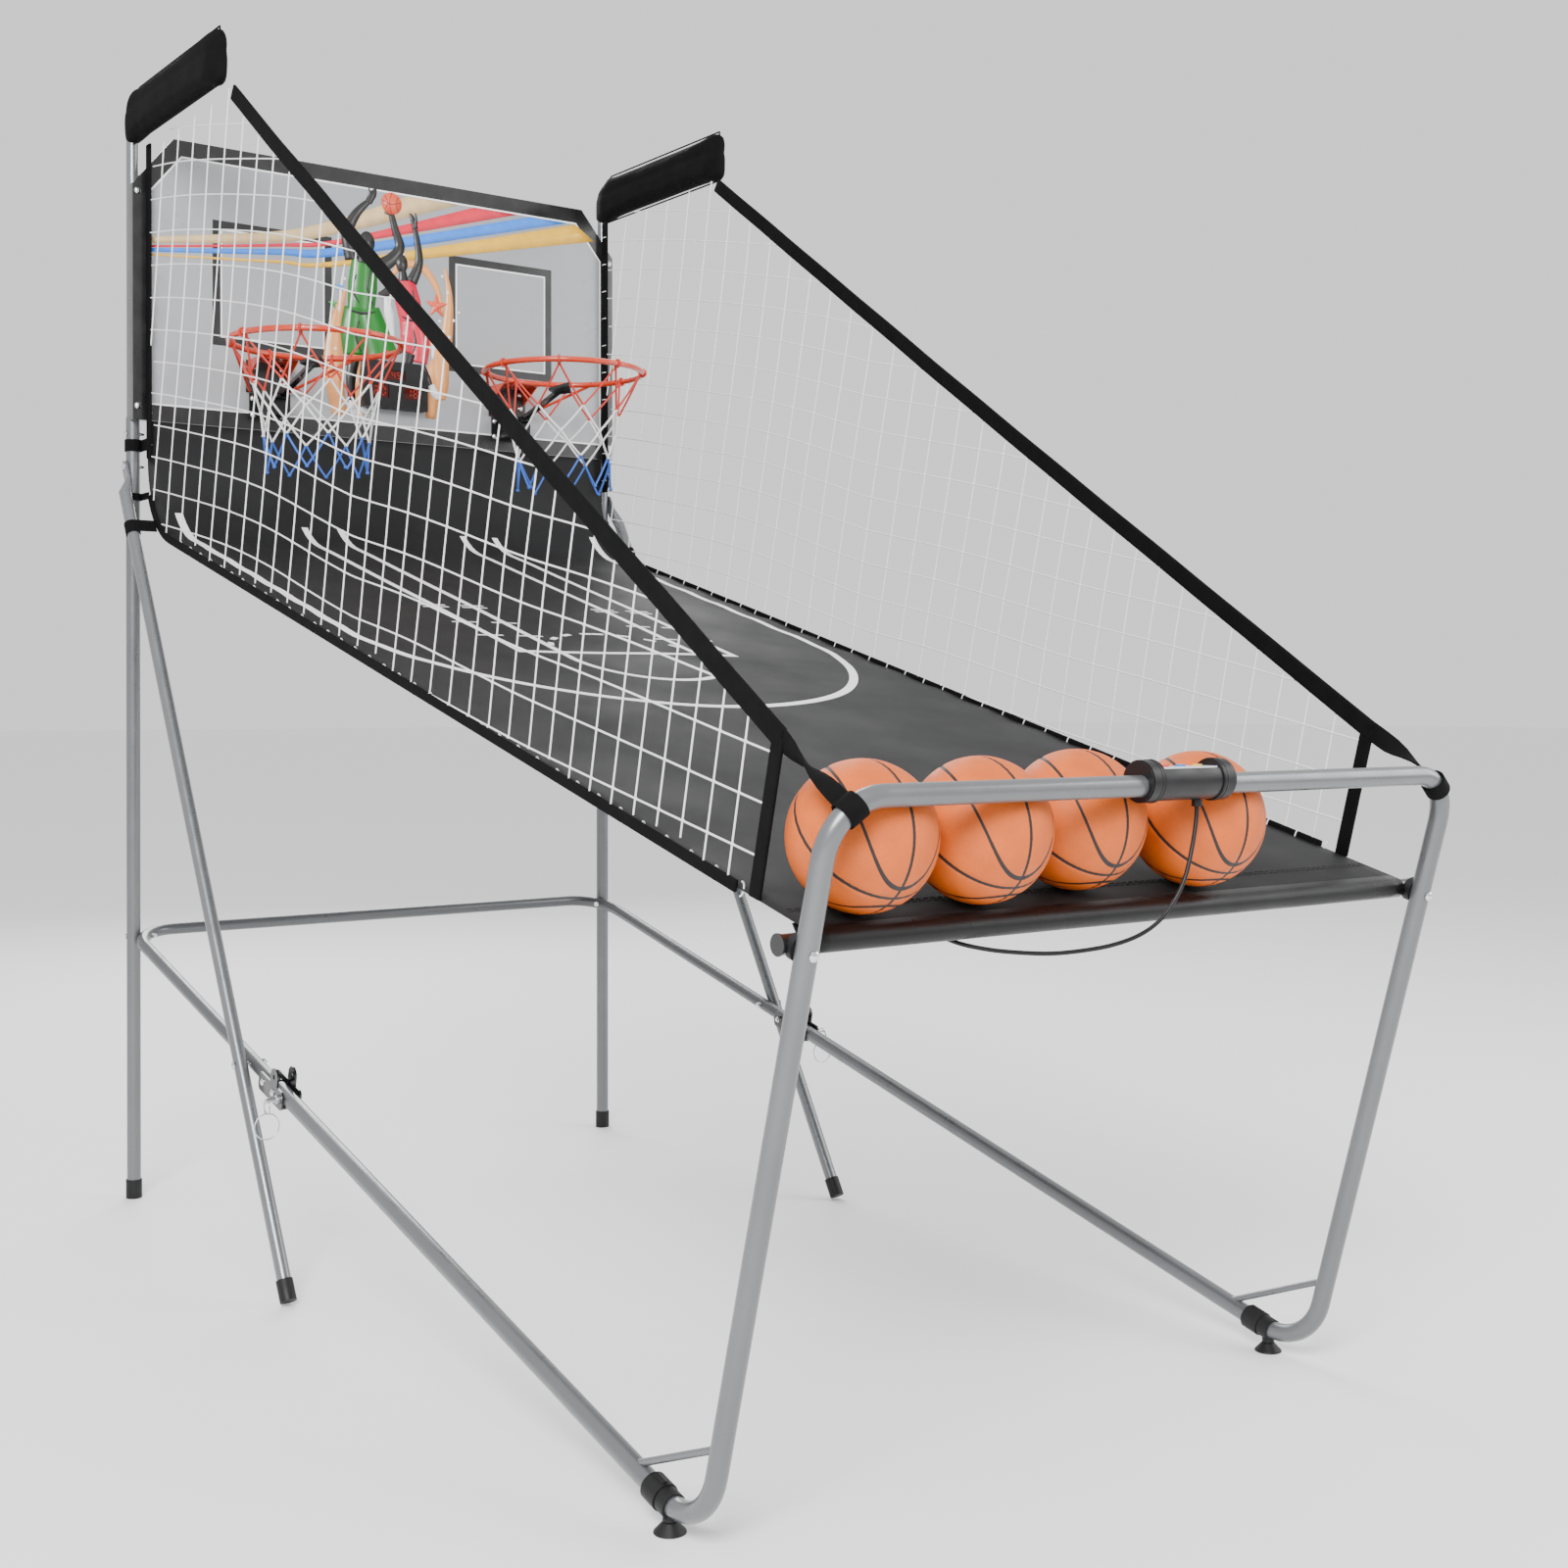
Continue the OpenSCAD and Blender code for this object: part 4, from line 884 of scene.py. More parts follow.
def handle_wrap(side):
    """Webbing from the top of the front strap to a loop sewn round the handle's bend."""
    turn = math.radians(38)
    up = Vector((0, -math.sin(HANDLE_LEAN), math.cos(HANDLE_LEAN)))
    out = Vector((side, 0, 0))
    bend = Vector((side * (HALF_WIDTH - HANDLE_BEND), *HANDLE)) - up * HANDLE_BEND
    spoke = out * math.sin(turn) + up * math.cos(turn)
    along = out * math.cos(turn) - up * math.sin(turn)
    rear = up.cross(out) * side
    centre = bend + spoke * HANDLE_BEND
    head = Vector((side * NET_X, *STRAP_HEAD))
    grip = centre + (spoke + rear).normalized() * (TUBE_RADIUS + 0.0022)
    rows = []
    for k in range(9):
        t = k / 8
        width = 0.026 - 0.004 * t
        spread = Vector((0, -0.53, 0.85)).lerp(along, t).normalized()
        spot = head.lerp(grip, t)
        rows.append([spot - spread * width / 2, spot, spot + spread * width / 2])
    tail = sewn_band(rows, 0.0024, 0.0008)
    ring = []
    for k in range(29):
        a = 2 * math.pi * k / 28
        arm = (spoke * math.cos(a) + rear * math.sin(a)) * (TUBE_RADIUS + 0.0022)
        ring.append([centre + arm + along * d for d in (-0.012, -0.004, 0.004, 0.012)])
    return [tail, sewn_band(ring, 0.0026, 0.0009)]


def add_side_net(side, profile):
    name = "side_net_" + ("left" if side < 0 else "right")
    outline = net_outline(profile)
    mesh = cords(name, net_lines(outline, side), 0.00125, NET_CORD,
                 knots=net_knots(outline, side), knot_radius=0.0023)
    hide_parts(name)
    fold_with_frame(mesh)
    sleeves = join_meshes(name + "_sleeves", net_sleeves(side, profile) + handle_wrap(side),
                          FABRIC_BLACK)
    fold_with_frame(sleeves)
    add_net_lacing(name, side)


def add_net_lacing(name, side):
    """Short cord loops that tie the net to its sleeves along the court and the rear."""
    loops = []
    x = side * NET_X

    def loop(spot, run):
        run = Vector(run).normalized()
        normal = Vector((-run.y, run.x))
        line = []
        for k in range(9):
            a = math.pi * k / 8
            out = normal * 0.0086 * math.sin(a - math.pi / 2)
            line.append((x - side * 0.0042 * math.sin(a), spot.x + out.x, spot.y + out.y))
        loops.append(line)

    slope = (math.cos(COURT_ANGLE), math.sin(COURT_ANGLE))
    for k in range(36):
        y = NET_REAR_Y - 0.16 - k * 0.0495
        if y > STRAP_FOOT[0] + 0.02:
            loop(Vector((y, court_height(y) + 0.001)), slope)
    for k in range(10):
        loop(Vector((NET_REAR_Y + 0.002, 1.40 + k * 0.058)), (0, 1))
    lacing = cords(name + "_lacing", loops, 0.0011, NET_CORD, resolution=0)
    fold_with_frame(lacing)


# ---- rim nets ----

# Height and radius of each ring of knots, from the rim down
NET_RINGS = [(1.5725, 0.1490), (1.500, 0.1140), (1.452, 0.1020), (1.404, 0.0960), (1.345, 0.0905)]
HOOKS = 8


def rim_net_point(centre_x, ring, half_step):
    height, radius = NET_RINGS[ring]
    a = math.pi * half_step / HOOKS + math.pi / HOOKS / 2
    wobble = 0.004 * noise.noise(Vector((half_step * 1.7, ring * 2.3, centre_x * 9)))
    lift = 0.004 * noise.noise(Vector((half_step * 2.1, ring * 1.1, 3 + centre_x * 9))) if ring else 0
    radius += wobble
    return Vector((centre_x + radius * math.cos(a), HOOP_Y + radius * math.sin(a), height + lift))


def sagging(a, b, drop, steps=6):
    """Points from a to b with a slight inward and downward sag."""
    down = Vector((0, 0, -drop))
    return [a.lerp(b, k / steps) + down * math.sin(math.pi * k / steps) for k in range(steps + 1)]


def add_rim_net(side):
    name = "rim_net_" + ("left" if side < 0 else "right")
    x = side * HOOP_X
    lines = []
    knots = []
    for hook in range(HOOKS):
        for way in (-1, 1):
            line = []
            for ring in range(len(NET_RINGS) - 1):
                a = rim_net_point(x, ring, 2 * hook + way * ring)
                b = rim_net_point(x, ring + 1, 2 * hook + way * (ring + 1))
                line += sagging(a, b, 0.002)[:-1]
            line.append(b)
            lines.append(line)
        for ring in range(1, len(NET_RINGS)):
            knots.append(rim_net_point(x, ring, 2 * hook + ring))
        top = rim_net_point(x, 0, 2 * hook)
        outward = Vector((top.x - x, top.y - HOOP_Y, 0)).normalized()
        loop = []
        for k in range(13):
            a = 2 * math.pi * k / 12
            spot = Vector((x, HOOP_Y, HOOP_Z)) + outward * (HOOP_RADIUS + 0.0072 * math.cos(a))
            loop.append(spot + Vector((0, 0, 0.0072 * math.sin(a))))
        lines.append(loop)
        lines.append([top, top + outward * 0.002 + Vector((0, 0, 0.0015))])
        knots.append(top)
    net = cords(name, lines, 0.0021, RIM_CORD, resolution=1, knots=knots, knot_radius=0.0042)
    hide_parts(name)
    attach(net, "stand")


# ---- wing pads ----

PAD_TOP = 2.056
PAD_AHEAD = 0.463
PAD_BEHIND = 0.0165
PAD_HALF = 0.0145
PAD_NOSE = 0.010
PAD_FALL = (0.040, 0.058, 0.030)


def pad_heights(y):
    """The pad's lower and upper edge: it falls away over the uprights and closes at its nose."""
    low, high = PAD_BOTTOM + 0.003, PAD_TOP
    start, length, drop = PAD_FALL
    behind = y - UPRIGHTS_Y + start
    if behind > 0:
        high -= behind / length * drop
    nose = UPRIGHTS_Y - PAD_AHEAD + PAD_NOSE - y
    if nose > 0:
        low += nose * 0.5
        high -= nose * 0.8
    return low, high


def pad_rows(side):
    """Cross sections of a pad from its front end to its rear end."""
    rows = []
    count = 34
    for k in range(count + 1):
        y = UPRIGHTS_Y - PAD_AHEAD + (PAD_AHEAD + PAD_BEHIND) * k / count
        low, high = pad_heights(y)
        ends = min(k, count - k)
        half = PAD_HALF * min(1.0, 0.55 + 0.2 * ends)
        row = []
        for i in range(28):
            a = 2 * math.pi * i / 28
            cx, cz = math.cos(a), math.sin(a)
            bulge = abs(cx) ** 0.35 * math.copysign(1, cx)
            rise = abs(cz) ** 0.5 * math.copysign(1, cz)
            row.append((side * HALF_WIDTH + half * bulge, y, (low + high) / 2 + (high - low) / 2 * rise))
        rows.append(row)
    return rows


def puff(piece, cap):
    """Blows the cover up a little with a seeded cloth run, and limits how far any point moves."""
    cloth = piece.modifiers.new("cover", "CLOTH")
    cloth.settings.quality = 4
    cloth.settings.mass = 0.2
    cloth.settings.use_pressure = True
    cloth.settings.uniform_pressure_force = 4
    cloth.settings.effector_weights.gravity = 0
    cloth.point_cache.frame_start = 1
    cloth.point_cache.frame_end = 20
    before = [v.co.copy() for v in piece.data.vertices]
    scene = bpy.context.scene
    for step in range(1, 21):
        scene.frame_set(step)
    bake_modifiers(piece)
    scene.frame_set(1)
    for vert, start in zip(piece.data.vertices, before):
        move = vert.co - start
        if move.length > cap:
            vert.co = start + move.normalized() * cap


def add_wing_pad(side):
    name = "wing_pad_" + ("left" if side < 0 else "right")
    bm = bmesh.new()
    rows = pad_rows(side)
    loft(bm, rows, ring=True)
    bmesh.ops.holes_fill(bm, edges=bm.edges, sides=0)
    piece = object_from(name + "_cover", mesh_from(bm, name), FABRIC_BLACK)
    remesh = piece.modifiers.new("even", "REMESH")
    remesh.mode = "VOXEL"
    remesh.voxel_size = 0.0055
    bake_modifiers(piece)
    puff(piece, 0.006)
    crease_pad(piece)
    smooth = piece.modifiers.new("smooth", "SUBSURF")
    smooth.levels = smooth.render_levels = 1
    bake_modifiers(piece)
    piece.data.materials.clear()
    piece.data.materials.append(FABRIC_BLACK)
    piece.data.shade_smooth()
    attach(piece, "stand")
    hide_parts(name)
    add_pad_piping(name, side)


def crease_pad(piece):
    """Soft pulls toward the seam and a shallow channel along the arm."""
    for vert in piece.data.vertices:
        side = math.copysign(1, vert.co.x)
        out = abs(vert.co.x) - HALF_WIDTH
        crease = noise.noise(Vector((vert.co.y * 14, vert.co.z * 22, side))) * 0.0012
        channel = 0.0016 * math.exp(-((vert.co.z - 2.017) / 0.006) ** 2)
        vert.co.x += side * math.copysign(1, out) * (crease - channel) * min(1, abs(out) / 0.008)


def add_pad_piping(name, side):
    """The sewn piping round a pad's cover."""
    rows = pad_rows(side)
    path = []
    for row in rows[1:-1]:
        path.append(Vector((side * HALF_WIDTH, row[0][1], max(p[2] for p in row) + 0.0012)))
    for row in reversed(rows[1:-1]):
        path.append(Vector((side * HALF_WIDTH, row[0][1], min(p[2] for p in row) - 0.0005)))
    path.append(path[0])
    piping = cords(name + "_piping", [path], 0.0016, FABRIC_BLACK, resolution=1)
    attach(piping, "stand")


# ---- balls ----

BALL_TURNS = {
    "ball_a": (-0.72, 0.04, 0.03),
    "ball_b": (-0.75, -0.03, 0.0),
    "ball_c": (-0.73, 0.0, 0.0),
    "ball_d": (-0.70, 0.03, -0.04),
}


def add_ball(node):
    """A moulded ball with real channels along its seams."""
    low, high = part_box(node)
    centre = (low + high) / 2
    turn = BALL_TURNS[node]
    back = Euler(turn).to_matrix().transposed()
    bm = bmesh.new()
    bmesh.ops.create_icosphere(bm, subdivisions=6, radius=1)
    for vert in bm.verts:
        local = back @ vert.co
        curve = SEAM_SLOPE * (abs(local.y) - SEAM_LOW - SEAM_CURL * local.x ** 2)
        near = min(abs(local.x), abs(local.y), abs(curve))
        dip = 0.0011 * max(0.0, 1 - (near / (SEAM_HALF * 1.25)) ** 2)
        vert.co = centre + vert.co.normalized() * (BALL_RADIUS - 0.0001 - dip)
    material = ball_rubber(node + "_rubber", tuple(centre), turn)
    piece = object_from(node + "_cover", mesh_from(bm, node), material, node)
    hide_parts(node)


# ---- board art ----

INK_DEPTH = 0.00022
STROKE_STEP = 0.00001


def flat_strip(rows, layer):
    """A printed shape from pairs of points (x, z) along its two sides."""
    bm = bmesh.new()
    y = BOARD_FRONT - 0.00012 - layer * 0.0002
    loft(bm, [[(a[0], y, a[1]), (b[0], y, b[1])] for a, b in rows])
    bmesh.ops.remove_doubles(bm, verts=bm.verts, dist=WELD)
    made = bpy.data.objects.new("ink", mesh_from(bm, "ink", smooth=False))
    bpy.context.scene.collection.objects.link(made)
    return thicken(made, INK_DEPTH)


def flat_disc(centre, radius, layer, squash=1.0):
    steps = 12
    rows = []
    for k in range(steps + 1):
        a = math.pi * k / steps - math.pi / 2
        half = max(math.cos(a), 0.02) * radius
        z = centre[1] + math.sin(a) * radius * squash
        rows.append(((centre[0] - half, z), (centre[0] + half, z)))
    return flat_strip(rows, layer)


def smooth_line(points, steps=8):
    return [tuple(p.xy) for p in smooth_route([Vector((*p, 0)) for p in points], steps)]


def limb(points, widths, layer, steps=6):
    """A printed stroke whose width runs through widths along the points."""
    line = smooth_line(points, steps)
    rows = []
    for i, spot in enumerate(line):
        a, b = Vector(line[max(i - 1, 0)]), Vector(line[min(i + 1, len(line) - 1)])
        run = (b - a).normalized()
        normal = Vector((-run.y, run.x))
        t = i / (len(line) - 1) * (len(widths) - 1)
        k = min(int(t), len(widths) - 2)
        width = widths[k] + (widths[k + 1] - widths[k]) * (t - k)
        p = Vector(spot)
        rows.append((tuple(p - normal * width / 2), tuple(p + normal * width / 2)))
    return flat_strip(rows, layer)


def star(centre, size, layer):
    parts = []
    for k in range(5):
        a = math.pi / 2 + 2 * math.pi * k / 5
        tip = (centre[0] + size * math.cos(a), centre[1] + size * math.sin(a))
        parts.append(limb([centre, ((centre[0] + tip[0]) / 2, (centre[1] + tip[1]) / 2), tip],
                          [size * 0.62, size * 0.36, size * 0.02], layer, 2))
    return parts


def ink(name, parts, colour):
    """One colour of the print; each stroke lies a hair in front of the one before it."""
    for index, part in enumerate(parts):
        part.data.transform(Matrix.Translation((0, -STROKE_STEP * index, 0)))
    join_meshes("print_" + name, parts, printed_ink("ink_" + name, colour), "stand")


def sweep_band(name, upper, lower, colour):
    """A printed band between its upper and its lower edge."""
    ink(name, [flat_strip(list(zip(smooth_line(upper, 10), smooth_line(lower, 10))), 0)], colour)


def add_board_art():
    """A generic poster: sweeping bands, an orange swirl, and two plain players reaching for a ball."""
    left = -0.484
    sweep_band("cream", [(left, 1.789), (-0.24, 1.834), (-0.11, 1.878), (0.035, 1.9435)],
               [(left, 1.777), (-0.24, 1.812), (-0.11, 1.848), (0.150, 1.9435)], (0.66, 0.47, 0.24))
    sweep_band("red", [(left, 1.773), (-0.24, 1.810), (-0.10, 1.840), (0.185, 1.9435)],
               [(left, 1.769), (-0.24, 1.804), (-0.10, 1.829), (0.285, 1.9435)], (0.72, 0.015, 0.05))
    sweep_band("blue", [(left, 1.768), (-0.24, 1.800), (-0.10, 1.824), (0.315, 1.9435)],
               [(left, 1.761), (-0.24, 1.788), (-0.10, 1.806), (0.405, 1.9435)], (0.03, 0.22, 0.82))
    sweep_band("yellow", [(left, 1.757), (-0.24, 1.778), (-0.10, 1.797), (0.425, 1.9435)],
               [(left, 1.754), (-0.24, 1.772), (-0.10, 1.785), (0.472, 1.914)], (0.80, 0.45, 0.03))

    ink("swirl", [
        limb([(-0.112, 1.490), (-0.124, 1.590), (-0.116, 1.680), (-0.098, 1.740)],
             [0.030, 0.044, 0.026, 0.004], 1),
        limb([(-0.010, 1.730), (0.012, 1.796), (0.062, 1.806), (0.098, 1.770), (0.112, 1.712)],
             [0.006, 0.012, 0.018, 0.014, 0.008], 1),
        limb([(0.118, 1.810), (0.128, 1.745), (0.118, 1.650), (0.092, 1.580), (0.086, 1.500)],
             [0.004, 0.016, 0.030, 0.044, 0.020], 1),
        limb([(0.070, 1.690), (0.104, 1.640), (0.110, 1.575), (0.112, 1.540)],
             [0.006, 0.038, 0.034, 0.012], 1),
        limb([(-0.080, 1.620), (-0.066, 1.560), (-0.070, 1.490)], [0.006, 0.034, 0.016], 1),
    ], (0.80, 0.33, 0.10))
    taller = [
        flat_disc((-0.053, 1.838), 0.0165, 4, 1.35),
        limb([(-0.056, 1.826), (-0.060, 1.796)], [0.020, 0.030], 4),
        limb([(-0.085, 1.800), (-0.094, 1.852), (-0.076, 1.892), (-0.048, 1.922)],
             [0.030, 0.026, 0.018, 0.010], 4),
        limb([(-0.050, 1.918), (-0.040, 1.936), (-0.034, 1.948)], [0.014, 0.015, 0.004], 4),
        limb([(-0.052, 1.920), (-0.046, 1.934), (-0.050, 1.950)], [0.006, 0.005, 0.002], 4),
        limb([(-0.030, 1.790), (0.000, 1.812), (0.018, 1.838), (0.008, 1.872), (-0.002, 1.908)],
             [0.034, 0.025, 0.021, 0.016, 0.011], 4),
        limb([(-0.008, 1.900), (-0.004, 1.918), (0.006, 1.930)], [0.016, 0.014, 0.005], 4),
        limb([(-0.080, 1.610), (-0.088, 1.560), (-0.084, 1.512)], [0.026, 0.020, 0.011], 4),
        limb([(-0.054, 1.610), (-0.060, 1.570), (-0.064, 1.516)], [0.024, 0.018, 0.010], 4),
    ]
    shorter = [
        flat_disc((0.022, 1.806), 0.0130, 4, 1.45),
        limb([(0.024, 1.792), (0.026, 1.772)], [0.014, 0.022], 4),
        limb([(0.044, 1.772), (0.060, 1.812), (0.056, 1.856), (0.050, 1.884)],
             [0.024, 0.018, 0.013, 0.009], 4),
        limb([(0.052, 1.880), (0.046, 1.900), (0.040, 1.910)], [0.013, 0.010, 0.002], 4),
        limb([(0.052, 1.882), (0.054, 1.900), (0.052, 1.912)], [0.007, 0.005, 0.002], 4),
        limb([(0.008, 1.762), (-0.012, 1.744), (-0.028, 1.736)], [0.024, 0.017, 0.010], 4),
        limb([(0.038, 1.628), (0.030, 1.598), (0.012, 1.580)], [0.028, 0.020, 0.012], 4),
        limb([(0.062, 1.606), (0.078, 1.580), (0.086, 1.560)], [0.022, 0.016, 0.010], 4),
    ]
    ink("figures", taller + shorter, (0.016, 0.015, 0.015))
    ink("green_kit", [
        limb([(-0.058, 1.806), (-0.062, 1.752), (-0.066, 1.700)], [0.052, 0.062, 0.056], 3),
        limb([(-0.078, 1.704), (-0.084, 1.660), (-0.082, 1.612)], [0.044, 0.050, 0.042], 3),
        limb([(-0.050, 1.706), (-0.036, 1.660), (-0.022, 1.618)], [0.046, 0.060, 0.072], 3),
    ], (0.006, 0.17, 0.012))
    ink("red_kit", [
        limb([(0.026, 1.778), (0.036, 1.730), (0.044, 1.690)], [0.044, 0.056, 0.050], 3),
        limb([(0.040, 1.694), (0.044, 1.660), (0.036, 1.628)], [0.046, 0.050, 0.036], 3),
        limb([(0.056, 1.690), (0.064, 1.650), (0.060, 1.610)], [0.036, 0.040, 0.034], 3),
    ], (0.68, 0.012, 0.05))
    ink("kit_folds", [
        limb([(-0.076, 1.772), (-0.084, 1.742), (-0.070, 1.716)], [0.002, 0.006, 0.002], 5),
        limb([(-0.044, 1.786), (-0.052, 1.750), (-0.040, 1.716)], [0.002, 0.005, 0.002], 5),
        limb([(-0.092, 1.700), (-0.064, 1.696), (-0.036, 1.702)], [0.002, 0.006, 0.002], 5),
        limb([(-0.070, 1.680), (-0.076, 1.650), (-0.066, 1.620)], [0.002, 0.006, 0.002], 5),
        limb([(0.046, 1.756), (0.052, 1.722), (0.062, 1.700)], [0.002, 0.006, 0.002], 5),
        limb([(0.022, 1.700), (0.044, 1.694), (0.066, 1.702)], [0.002, 0.005, 0.002], 5),
        limb([(0.048, 1.676), (0.052, 1.650), (0.046, 1.630)], [0.002, 0.006, 0.002], 5),
    ], (0.016, 0.015, 0.015))
    ink("ball", [flat_disc((0.000, 1.9235), 0.0220, 6)] + star((0.099, 1.730), 0.025, 3), (0.80, 0.10, 0.04))
    ink("ball_lines", [
        limb([(0.000, 1.944), (-0.005, 1.924), (0.000, 1.903)], [0.0018, 0.0018, 0.0018], 7),
        limb([(-0.020, 1.928), (0.000, 1.922), (0.020, 1.928)], [0.0018, 0.0018, 0.0018], 7),
        limb([(-0.015, 1.938), (-0.009, 1.924), (-0.015, 1.909)], [0.0016, 0.0016, 0.0016], 7),
        limb([(0.015, 1.938), (0.009, 1.924), (0.015, 1.909)], [0.0016, 0.0016, 0.0016], 7),
    ], (0.25, 0.03, 0.02))
    dots = [
        (-0.100, 1.760), (0.026, 1.825), (0.112, 1.792), (0.124, 1.760), (0.106, 1.700), (0.138, 1.705),
        (-0.112, 1.700), (-0.004, 1.760), (0.128, 1.670), (-0.120, 1.620), (0.116, 1.680), (0.150, 1.722)]
    ink("white", [flat_disc(spot, 0.0032, 2) for spot in dots] + [
        limb([(-0.084, 1.520), (-0.086, 1.504), (-0.074, 1.496)], [0.015, 0.018, 0.007], 5),
        limb([(-0.064, 1.522), (-0.062, 1.506), (-0.050, 1.500)], [0.014, 0.016, 0.007], 5),
        limb([(0.086, 1.568), (0.094, 1.552), (0.104, 1.542)], [0.014, 0.018, 0.008], 5),
        limb([(-0.012, 1.742), (-0.006, 1.700), (0.004, 1.650)], [0.006, 0.022, 0.004], 2),
        limb([(0.070, 1.690), (0.092, 1.670), (0.090, 1.620)], [0.004, 0.014, 0.003], 2),
        limb([(-0.100, 1.790), (-0.108, 1.740), (-0.112, 1.690)], [0.002, 0.006, 0.002], 2),
    ], (0.88, 0.88, 0.88))
    ink("blue_star", star((-0.111, 1.743), 0.010, 3), (0.08, 0.3, 0.8))
    ink("green_star", star((-0.125, 1.708), 0.011, 3), (0.02, 0.35, 0.05))


# ---- scoreboard ----

SEGMENTS = {
    "0": "abcdef", "1": "bc", "2": "abged", "4": "fgbc", "5": "afgcd", "8": "abcdefg",
}
SEGMENT_ENDS = {
    "a": ((0, 2), (1, 2)), "b": ((1, 2), (1, 1)), "c": ((1, 1), (1, 0)), "d": ((0, 0), (1, 0)),
    "e": ((0, 1), (0, 0)), "f": ((0, 2), (0, 1)), "g": ((0, 1), (1, 1)),
}


def digit_parts(text, centre, size):
    """Segment strokes for a number in a display window."""
    parts = []
    pitch = size * 0.82
    start = centre[0] - pitch * (len(text) - 1) / 2
    for index, mark in enumerate(text):
        for segment in SEGMENTS[mark]:
            a, b = (Vector((start + index * pitch + (column - 0.5) * size * 0.46,
                            centre[1] + (row - 1) * size * 0.44))
                    for column, row in SEGMENT_ENDS[segment])
            trim = (b - a).normalized() * size * 0.07
            parts.append(limb([tuple(a + trim), tuple(b - trim)], [size * 0.1, size * 0.1], 0, 2))
    return parts


def add_display():
    """Numbers behind the scoreboard's windows, as segments."""
    low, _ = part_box("scoreboard_window")
    parts = (digit_parts("45", (0.0, DISPLAY_LOW + 0.066), 0.014)
             + digit_parts("20", (-0.035, DISPLAY_LOW + 0.033), 0.018)
             + digit_parts("18", (0.035, DISPLAY_LOW + 0.033), 0.018))
    for part in parts:
        part.data.transform(Matrix.Translation((0, low.y - 0.0002 - BOARD_FRONT, 0)))
    join_meshes("display_numbers", parts, display_glow(), "stand")


# ---- small fittings ----

def add_box_trim():
    """Raised rings on the control box's end collars and a seam round each end of its body."""
    centre = Vector((0, HANDLE[0] + 0.004, HANDLE[1] + 0.005))
    bm = bmesh.new()
    for side in (-1, 1):
        for offset in (0.0500, 0.0545):
            hub = centre + Vector((side * offset, 0, 0))
            edge = Matrix.Translation(hub + Vector((0, 0, 0.0244))) @ Matrix.Rotation(math.pi / 2, 4, "X")
            circle = bmesh.ops.create_circle(bm, segments=8, radius=0.0007, matrix=edge)
            edges = list({e for v in circle["verts"] for e in v.link_edges})
            bmesh.ops.spin(bm, geom=circle["verts"] + edges, cent=hub, axis=(1, 0, 0),
                           angle=2 * math.pi, steps=64, use_merge=True)
    object_from("box_rings", mesh_from(bm, "box_rings"), CASE_BLACK, "front_frame")


# How far in front of the uprights each tab sits
CORD_TABS = (-1.72, -1.36, -1.0, -0.64, -0.30)


def add_cord_tabs(line):
    """Stitched cloth tabs that hold the cord against the underside of the court."""
    parts = []
    for y in CORD_TABS:
        spot = min(line, key=lambda p: abs(p.y - UPRIGHTS_Y - y))
        rows = []
        for k in range(11):
            t = k / 10 * 2 - 1
            drop = 0.0068 * max(0.0, math.cos(t * math.pi / 2)) ** 0.6 if abs(t) < 0.62 else 0.0
            x = spot.x + 0.022 * t
            row = []
            for y_tab in (spot.y - 0.008, spot.y, spot.y + 0.008):
                row.append((x, y_tab, court_height(y_tab) - 0.0019 - drop))
            rows.append(row)
        parts.append(sewn_band(rows, 0.001))
    fold_with_frame(join_meshes("cord_tabs", parts, FABRIC_BLACK))


def stitched_hem(profile):
    """Two dark stitch lines across the court behind the lip."""
    lines = []
    for s in (0.052, 0.058):
        y = COURT_START[0] + s * math.cos(COURT_ANGLE)
        z = court_height(y) + 0.0012
        x = -COURT_HALF + 0.012
        while x < COURT_HALF - 0.012:
            lines.append([(x, y, z), (x + 0.0035, y, z + 0.0003), (x + 0.007, y, z)])
            x += 0.0105
    thread = moulded("hem_thread", (0.03, 0.03, 0.032), 0.7, 1500, 0.2)
    stitches = cords("court_stitches", lines, 0.0005, thread, resolution=0)
    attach(stitches, "front_frame")


# ---- room ----

def add_room():
    bm = bmesh.new()
    bmesh.ops.create_grid(bm, x_segments=1, y_segments=1, size=60)
    mesh = mesh_from(bm, "floor", smooth=False, outward=False)
    mesh.transform(Matrix.Translation((0, 0, -0.0006)))
    floor = Finish("floor_white", (0.93, 0.93, 0.93), 0.7)
    floor.shine(floor.noise(2, 2), 0.66, 0.74)
    object_from("floor", mesh, floor.material)
    world = bpy.data.worlds.new("room")
    world.use_nodes = True
    background = world.node_tree.nodes["Background"]
    background.inputs["Color"].default_value = (1, 1, 1, 1)
    background.inputs["Strength"].default_value = 1.1
    bpy.context.scene.world = world
    soft_light("key", (-3.2, -3.4, 3.6), (0, 0, 1.0), 2.0, 420)
    soft_light("fill", (3.6, -2.2, 2.4), (0, 0, 1.0), 2.4, 90)
    soft_light("rim", (1.5, 4.2, 3.4), (0, 0, 1.2), 2.6, 160)


def soft_light(name, place, target, size, power):
    data = bpy.data.lights.new(name, "AREA")
    data.shape = "SQUARE"
    data.size = size
    data.energy = power
    lamp = bpy.data.objects.new(name, data)
    lamp.location = place
    lamp.rotation_euler = (Vector(target) - Vector(place)).to_track_quat("-Z", "Y").to_euler()
    bpy.context.scene.collection.objects.link(lamp)


# ---- build ----

add_camera()
cord_line = add_signal_cord()

FABRIC_BLACK = webbing("fabric_black", (0.003, 0.003, 0.0033))
NET_CORD = knotted_cord("net_cord", (0.86, 0.86, 0.85))
RIM_CORD = rim_cord()
CASE_BLACK = moulded("case_black", (0.007, 0.007, 0.0078), 0.36)

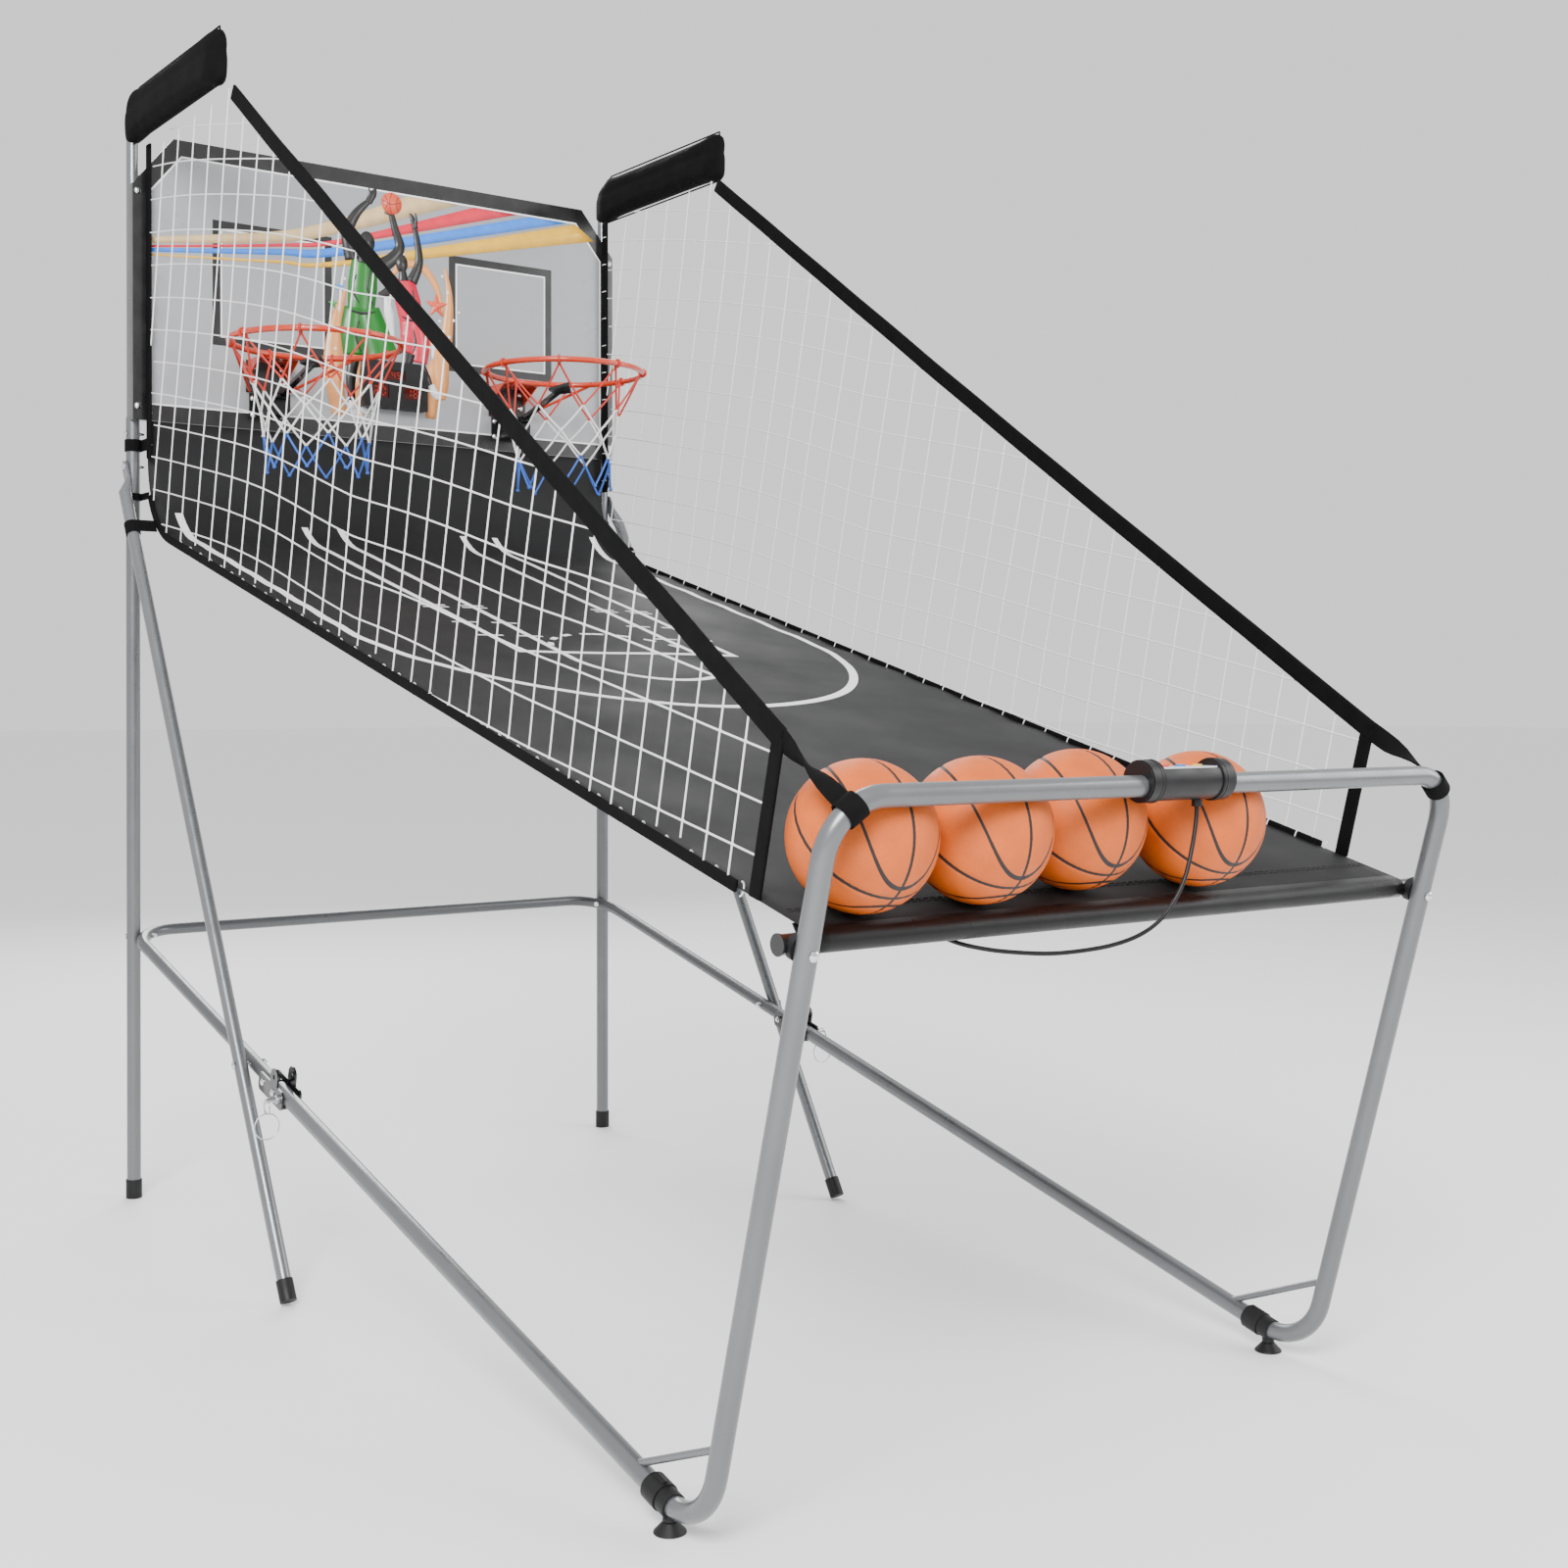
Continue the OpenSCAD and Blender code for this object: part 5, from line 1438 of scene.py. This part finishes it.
court_line = add_court(court_cloth())
stitched_hem(court_line)
add_cord_tabs(cord_line)
for side in (-1, 1):
    add_side_net(side, court_line)
    add_rim_net(side)
    add_wing_pad(side)
for node in BALL_TURNS:
    add_ball(node)
add_board_art()
add_display()
add_box_trim()

NODE_FINISHES = {
    tube_paint("tube_grey", (0.15, 0.156, 0.165)): [
        "rear_upright_left", "rear_upright_right", "handle_tube", "front_leg_left", "front_leg_right"],
    tube_paint("tube_bright", (0.175, 0.182, 0.192), 0.26): [
        "top_post_left", "top_post_right", "leg_left", "leg_right"],
    tube_paint("tube_dark", (0.095, 0.099, 0.105), 0.32): ["base_tube"],
    gloss_paint("black_gloss", (0.006, 0.006, 0.007), 0.2): [
        "lip_bar", "hinge_bracket_left", "hinge_bracket_right", "sensor_arm_left", "sensor_arm_right"],
    rim_paint(): ["rim_left", "rim_right"],
    bright_metal("bolt_plate", (0.78, 0.79, 0.81), 0.14): ["frame_bolts", "board_bolts", "lip_bolts"],
    bright_metal("pin_steel", (0.62, 0.63, 0.65), 0.28, 0.05): [
        "lock_pin_left", "lock_pin_right", "sensor_springs"],
    moulded("foot_rubber", (0.007, 0.007, 0.0075), 0.5, 700, 0.3): [
        "foot_caps", "suction_feet", "foot_clamps", "lip_saddles", "cord_gland_box", "cord_gland_board"],
    CASE_BLACK: ["sensor_housing_left", "sensor_housing_right", "battery_case", "battery_lid", "box_shell",
                 "box_collars", "sensor_switches", "scoreboard_bezel"],
    moulded("case_grey", (0.03, 0.031, 0.034), 0.45): ["scoreboard_case"],
    moulded("window_red", (0.05, 0.005, 0.003), 0.12, 300, 0.02): ["scoreboard_window"],
    FABRIC_BLACK: ["court_straps"],
    board_print(): ["backboard"],
    circuit("circuit_green"): ["scoreboard_board", "box_board"],
    battery_wrap(): ["batteries"],
    box_label(): ["box_panel"],
    moulded("button_red", (0.6, 0.04, 0.03), 0.3, 400, 0.05): ["button_start"],
    moulded("button_blue", (0.04, 0.16, 0.55), 0.3, 400, 0.05): ["button_mode"],
    moulded("button_amber", (0.75, 0.42, 0.05), 0.3, 400, 0.05): ["button_sound"],
}
for finish, nodes in NODE_FINISHES.items():
    for node in nodes:
        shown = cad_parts[node]
        if not shown.material_slots:
            shown.data.materials.append(finish)
        for place in shown.material_slots:
            place.material = finish

add_room()
